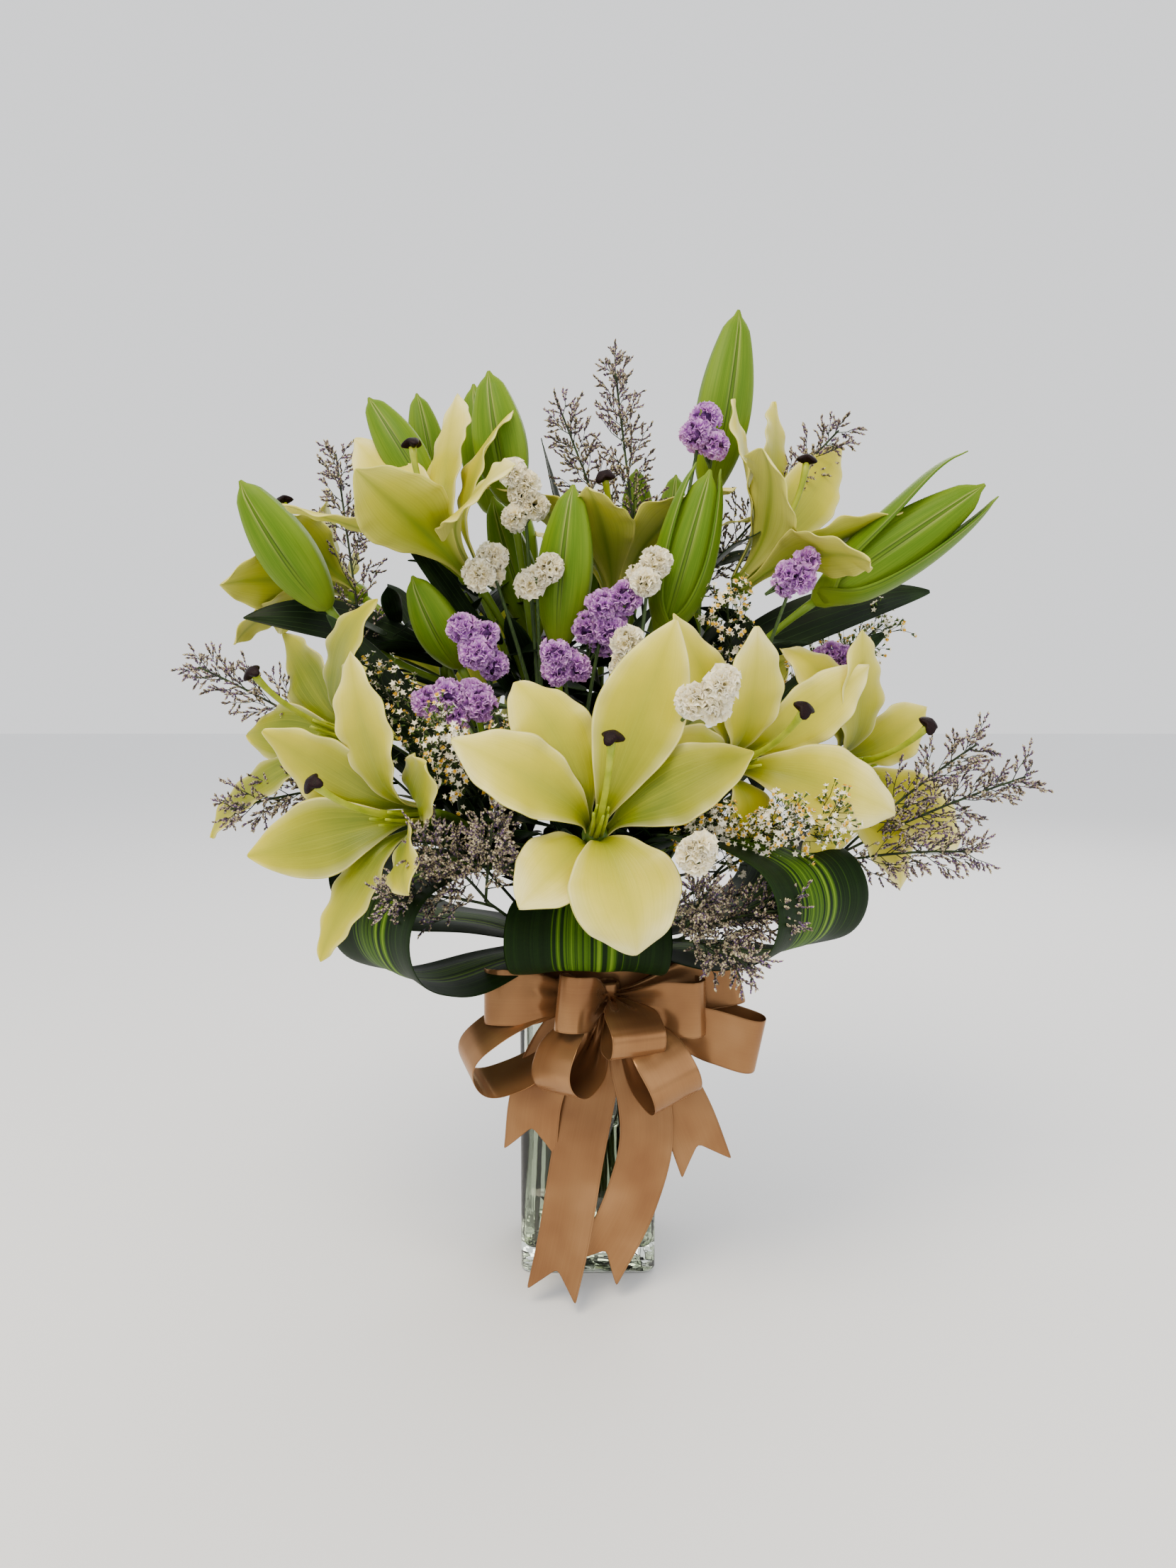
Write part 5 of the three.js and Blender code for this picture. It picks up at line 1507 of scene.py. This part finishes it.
tone = add_node(
    striped_leaf, "ValToRGB", feeds={"Fac": lift},
    stops=[
        (0.4, "#101E0A"), (0.6, "#14260C"), (0.645, "#1A2E0B"), (0.665, "#33500E"),
        (0.78, "#436214"), (0.9, "#648220"),
    ],
)
fine = add_node(striped_leaf, "Mapping", {"Scale": (160, 0.4, 1)}, {"Vector": uv})
veins = add_node(striped_leaf, "TexNoise", {"Scale": 1.0, "Detail": 2}, {"Vector": fine})
relief = add_node(striped_leaf, "Bump", {"Strength": 0.25, "Distance": 0.0005}, {"Height": veins})
surface_of(
    striped_leaf,
    {"Roughness": 0.55, "Specular IOR Level": 0.06},
    {"Base Color": tone, "Normal": relief},
)


def smooth_curve(points):
    """A curve through points: gives the point and the direction at a share of its length."""
    runs = [(b - a).length for a, b in zip(points, points[1:])]
    heading = []
    for k, point in enumerate(points):
        before, after = points[max(0, k - 1)], points[min(len(points) - 1, k + 1)]
        if 0 < k < len(points) - 1:
            pull = (point - before) / runs[k - 1] ** 2 + (after - point) / runs[k] ** 2
            heading.append(pull.normalized())
        else:
            heading.append((after - before).normalized())
    fine = []
    for k, run in enumerate(runs):
        a, d = points[k], points[k + 1]
        b, c = a + heading[k] * run / 3, d - heading[k + 1] * run / 3
        for i in range(24):
            t = i / 24
            fine.append(a * (1 - t) ** 3 + b * 3 * t * (1 - t) ** 2 + c * 3 * t * t * (1 - t) + d * t ** 3)
    fine.append(points[-1].copy())
    ahead = [0]
    for a, b in zip(fine, fine[1:]):
        ahead.append(ahead[-1] + (b - a).length)

    def curve(u):
        want = min(max(u, 0), 1) * ahead[-1]
        k = max(i for i in range(len(ahead) - 1) if ahead[i] <= want + 1e-9)
        span = ahead[k + 1] - ahead[k]
        point = blend_of(fine[k], fine[k + 1], (want - ahead[k]) / span)
        run = (fine[min(k + 2, len(fine) - 1)] - fine[max(k - 1, 0)]).normalized()
        return point, run

    curve.length = ahead[-1]
    return curve


for name, (turn, reach, low, high) in COLLARS.items():
    out = facing(turn, 0)
    on_rim = VASE_HEIGHT + 1.2
    radius = (high - low) / 2
    outline = [
        (50, on_rim), (76, blend_of(on_rim, low, 0.4)), (reach - radius, low),
        (reach - radius * 0.25, low + radius * 0.35), (reach, low + radius),
        (reach - radius * 0.25, high - radius * 0.35), (reach - radius, high),
        (74, high - 6), (54, high - 22),
    ]
    curve = smooth_curve([out * r + UP * z for r, z in outline])
    side = Vector((-out.y, out.x, 0))
    half = lambda u: blend_of(COLLAR_NECK, COLLAR_WIDTH, max(0, math.sin(math.pi * u)) ** 0.75) / 2
    hollow = lambda u, v: (
        -2.5 * (1 - v * v) * smooth_step(u, 0, 0.2) - 0.9 * math.exp(-((v / 0.05) ** 2))
        + 0.7 * math.sin(7 * v + 3 * u)
    )
    bm = bmesh.new()
    mapped_grid(bm, 44, 16, strip_place(curve, side, half, hollow))
    leaf = hand_over("collar_leaf_%s_strap" % name, bm, ["collar_leaf_" + name], "collar_leaf", striped_leaf)
    add_thickness(leaf, 0.0009)

# Bow --------------------------------------------------------------------------------------------------
# One length of satin ribbon, 39 mm wide: a band round the neck of the vase, nine loops gathered
# at a knot in front, and four tails cut to a swallow's tail. A loop is [turn, lift, length,
# roll, bulge], and a tail the points it hangs through with the way across it at each end.

KNOT, BAND_LOW = Vector((14, -59.5, 214)), 196
RIBBON_WIDTH, RIBBON_THICK = 39, 0.5
LOOPS = [
    (-78, 3, 88, 9, 16),
    (-75, -25, 111, 75, 22),
    (-39, -44, 78, 96, 18),
    (-34, 6, 54, 0, 12),
    (19, -18, 66, 90, 13),
    (63, 0, 74, 0, 13),
    (83, 11, 96, -5, 10),
    (74, -14, 114, 1, 12),
    (43, -40, 90, 119, 22),
]
TAILS = {
    "left": (
        [[2, -56, 202], [-20, -58, 178], [-36, -66, 146], [-42, -70, 100]],
        [1, -0.1, 0.2], [1, -0.15, 0.05],
    ),
    "middle_left": (
        [[10, -56, 202], [4, -62, 160], [-8, -78, 100], [-18, -96, 45], [-26, -106, 10]],
        [1, 0, 0.1], [0.77, -0.5, -0.4],
    ),
    "middle_right": (
        [[19, -57, 202], [36, -66, 160], [42, -76, 115], [30, -84, 70], [3, -92, 20]],
        [1, 0, 0.1], [0.86, 0.1, -0.5],
    ),
    "right": ([[27, -56, 202], [48, -60, 168], [70, -66, 130], [86, -68, 88]], [1, 0, 0.35], [1, 0.1, 0.25]),
}

# Polyester satin: fine threads float over the weave along the ribbon, so a soft silky gleam runs
# across it at each bend, between deep bronze shadows. The threads, 0.1 mm apart, are drawn at
# 0.5 mm so that they show, and a corded selvedge runs 1 mm inside each edge.
satin = new_material("woven satin ribbon")
uv = add_node(satin, "UVMap").outputs["UV"]
place_on = add_node(satin, "SeparateXYZ", feeds={"Vector": uv})
spread = add_node(satin, "Mapping", {"Scale": (78, 1.5, 1)}, {"Vector": uv})
threads = add_node(satin, "TexNoise", {"Scale": 1.0, "Detail": 2}, {"Vector": spread})
at = add_node(satin, "TexCoord").outputs["Object"]
clouds = add_node(satin, "TexNoise", {"Scale": 22, "Detail": 2}, {"Vector": at})
tones = add_node(
    satin, "Math", {1: 0.16}, {0: threads, 2: clouds}, operation="MULTIPLY_ADD"
)
browns = add_node(
    satin, "ValToRGB", feeds={"Fac": tones},
    stops=[(0.4, "#7C5434"), (0.58, "#8A623E"), (0.75, "#966E48")],
)
edge = add_node(
    satin, "ValToRGB", feeds={"Fac": place_on.outputs["X"]},
    stops=[(0.0, 0.0), (0.018, 0.0), (0.026, 0.6), (0.034, 0.0), (0.966, 0.0), (0.974, 0.6), (0.982, 0.0)],
)
selvedge = add_node(
    satin, "Mix", {"B": linear("#5A3C28")}, {"Factor": edge, "A": browns},
    data_type="RGBA",
)
weave = add_node(satin, "TexNoise", {"Scale": 1600, "Detail": 1}, {"Vector": at})
heights = add_node(
    satin, "Math", {1: 0.6}, {0: weave, 2: threads}, operation="MULTIPLY_ADD"
)
relief = add_node(satin, "Bump", {"Strength": 0.1, "Distance": 0.0003}, {"Height": heights})
along = add_node(satin, "Tangent", direction_type="UV_MAP")
surface_of(
    satin,
    {
        "Roughness": 0.27, "Specular IOR Level": 0.6, "Specular Tint": linear("#F0D2B2"), "Metallic": 0.5,
        "Sheen Weight": 0.08, "Sheen Roughness": 0.35, "Sheen Tint": linear("#E8C6A2"), "Anisotropic": 0.6,
    },
    {"Base Color": selvedge, "Normal": relief, "Tangent": along},
)

bm = bmesh.new()
rounded_post(bm, VASE_SIDE / 2 + 0.45, BAND_LOW, BAND_LOW + RIBBON_WIDTH, VASE_CORNER, 8)
bm.normal_update()
ends = [f for f in bm.faces if abs(f.normal.z) > 0.9]
bmesh.ops.delete(bm, geom=ends, context="FACES_ONLY")
upright = [e for e in bm.edges if abs(e.verts[0].co.z - e.verts[1].co.z) > 1]
bmesh.ops.subdivide_edges(bm, edges=upright, cuts=8)
level = [e for e in bm.edges if abs(e.verts[0].co.z - e.verts[1].co.z) < 0.1 and e.calc_length() > 20]
bmesh.ops.subdivide_edges(bm, edges=level, cuts=9, use_grid_fill=True)
uvs = bm.loops.layers.uv.verify()
for vert in bm.verts:
    share = (vert.co.z - BAND_LOW) / RIBBON_WIDTH
    turn = math.atan2(vert.co.y, vert.co.x)
    for loop in vert.link_loops:
        loop[uvs].uv = (share, turn)
    out = Vector((vert.co.x, vert.co.y, 0)).normalized()
    crease = 0.35 + 0.3 * math.sin(9 * share + 1.5 * math.sin(2 * turn)) * math.sin(math.pi * share)
    vert.co += out * crease
band = hand_over("ribbon_band", bm, ["bow_band"], "ribbon", satin)
add_thickness(band, RIBBON_THICK / 1000, 0, 1.0)

loops_length = 0
bm = bmesh.new()
for turn, lift, length, roll, bulge in LOOPS:
    out = facing(turn, lift)
    across = (UP - out * out.z).normalized()
    across = Matrix.Rotation(math.radians(roll), 3, out) @ across
    spread = out.cross(across)
    there = [(0.08, -0.15), (0.4, -0.75), (0.76, -1), (0.99, -0.5)]
    outline = there + [(r, -s) for r, s in reversed(there)]
    curve = smooth_curve([KNOT + out * r * length + spread * s * bulge for r, s in outline])
    half = lambda u: RIBBON_WIDTH / 2 * blend_of(0.2, 1, smooth_step(min(u, 1 - u), 0, 0.33))
    pleats = lambda u, v: (
        2.4 * math.cos(2.5 * math.pi * v) * (1 - smooth_step(min(u, 1 - u), 0.02, 0.36))
        + 0.9 * v * math.sin(8 * u + roll)
    )
    mapped_grid(bm, 40, 12, strip_place(curve, across, half, pleats))
    loops_length += curve.length
bow = hand_over("ribbon_loops", bm, ["bow_loops"], "ribbon", satin)
add_thickness(bow, RIBBON_THICK / 1000)

bm = bmesh.new()


def gathered_knot(u, v):
    angle = 2 * math.pi * v
    radius = 7.4 + 1.6 * math.sin(math.pi * u) + 0.5 * math.cos(7 * angle) + 0.3 * math.sin(9 * u)
    return KNOT + Vector((math.cos(angle) * radius, math.sin(angle) * radius, (u - 0.5) * 22))


made = mapped_grid(bm, 12, 40, gathered_knot)
bmesh.ops.remove_doubles(bm, verts=made, dist=0.001)
bmesh.ops.recalc_face_normals(bm, faces=bm.faces)
knot = hand_over("ribbon_knot", bm, ["bow_loops"], "ribbon", satin)
add_thickness(knot, RIBBON_THICK / 1000, 0)

for name, (way, first, last) in TAILS.items():
    curve = smooth_curve([Vector(p) for p in way])
    side = lambda u: blend_of(Vector(first), Vector(last), u)
    half = lambda u: RIBBON_WIDTH / 2 * blend_of(0.35, 1, smooth_step(u, 0, 0.22))
    rolls = lambda u, v: (
        1.6 * math.cos(2.5 * math.pi * v) * (1 - smooth_step(u, 0, 0.3))
        + 1.3 * v * v * math.sin(5 * u + len(name))
    )
    strip = strip_place(curve, side, half, rolls)
    cut = 0.12 * 165 / curve.length
    place = lambda u, v: strip(u * (1 - cut * (1 - abs(2 * v - 1))), v)
    bm = bmesh.new()
    mapped_grid(bm, 36, 10, place)
    tail = hand_over("ribbon_tail_" + name, bm, ["bow_tail_" + name], "ribbon", satin)
    add_thickness(tail, RIBBON_THICK / 1000)
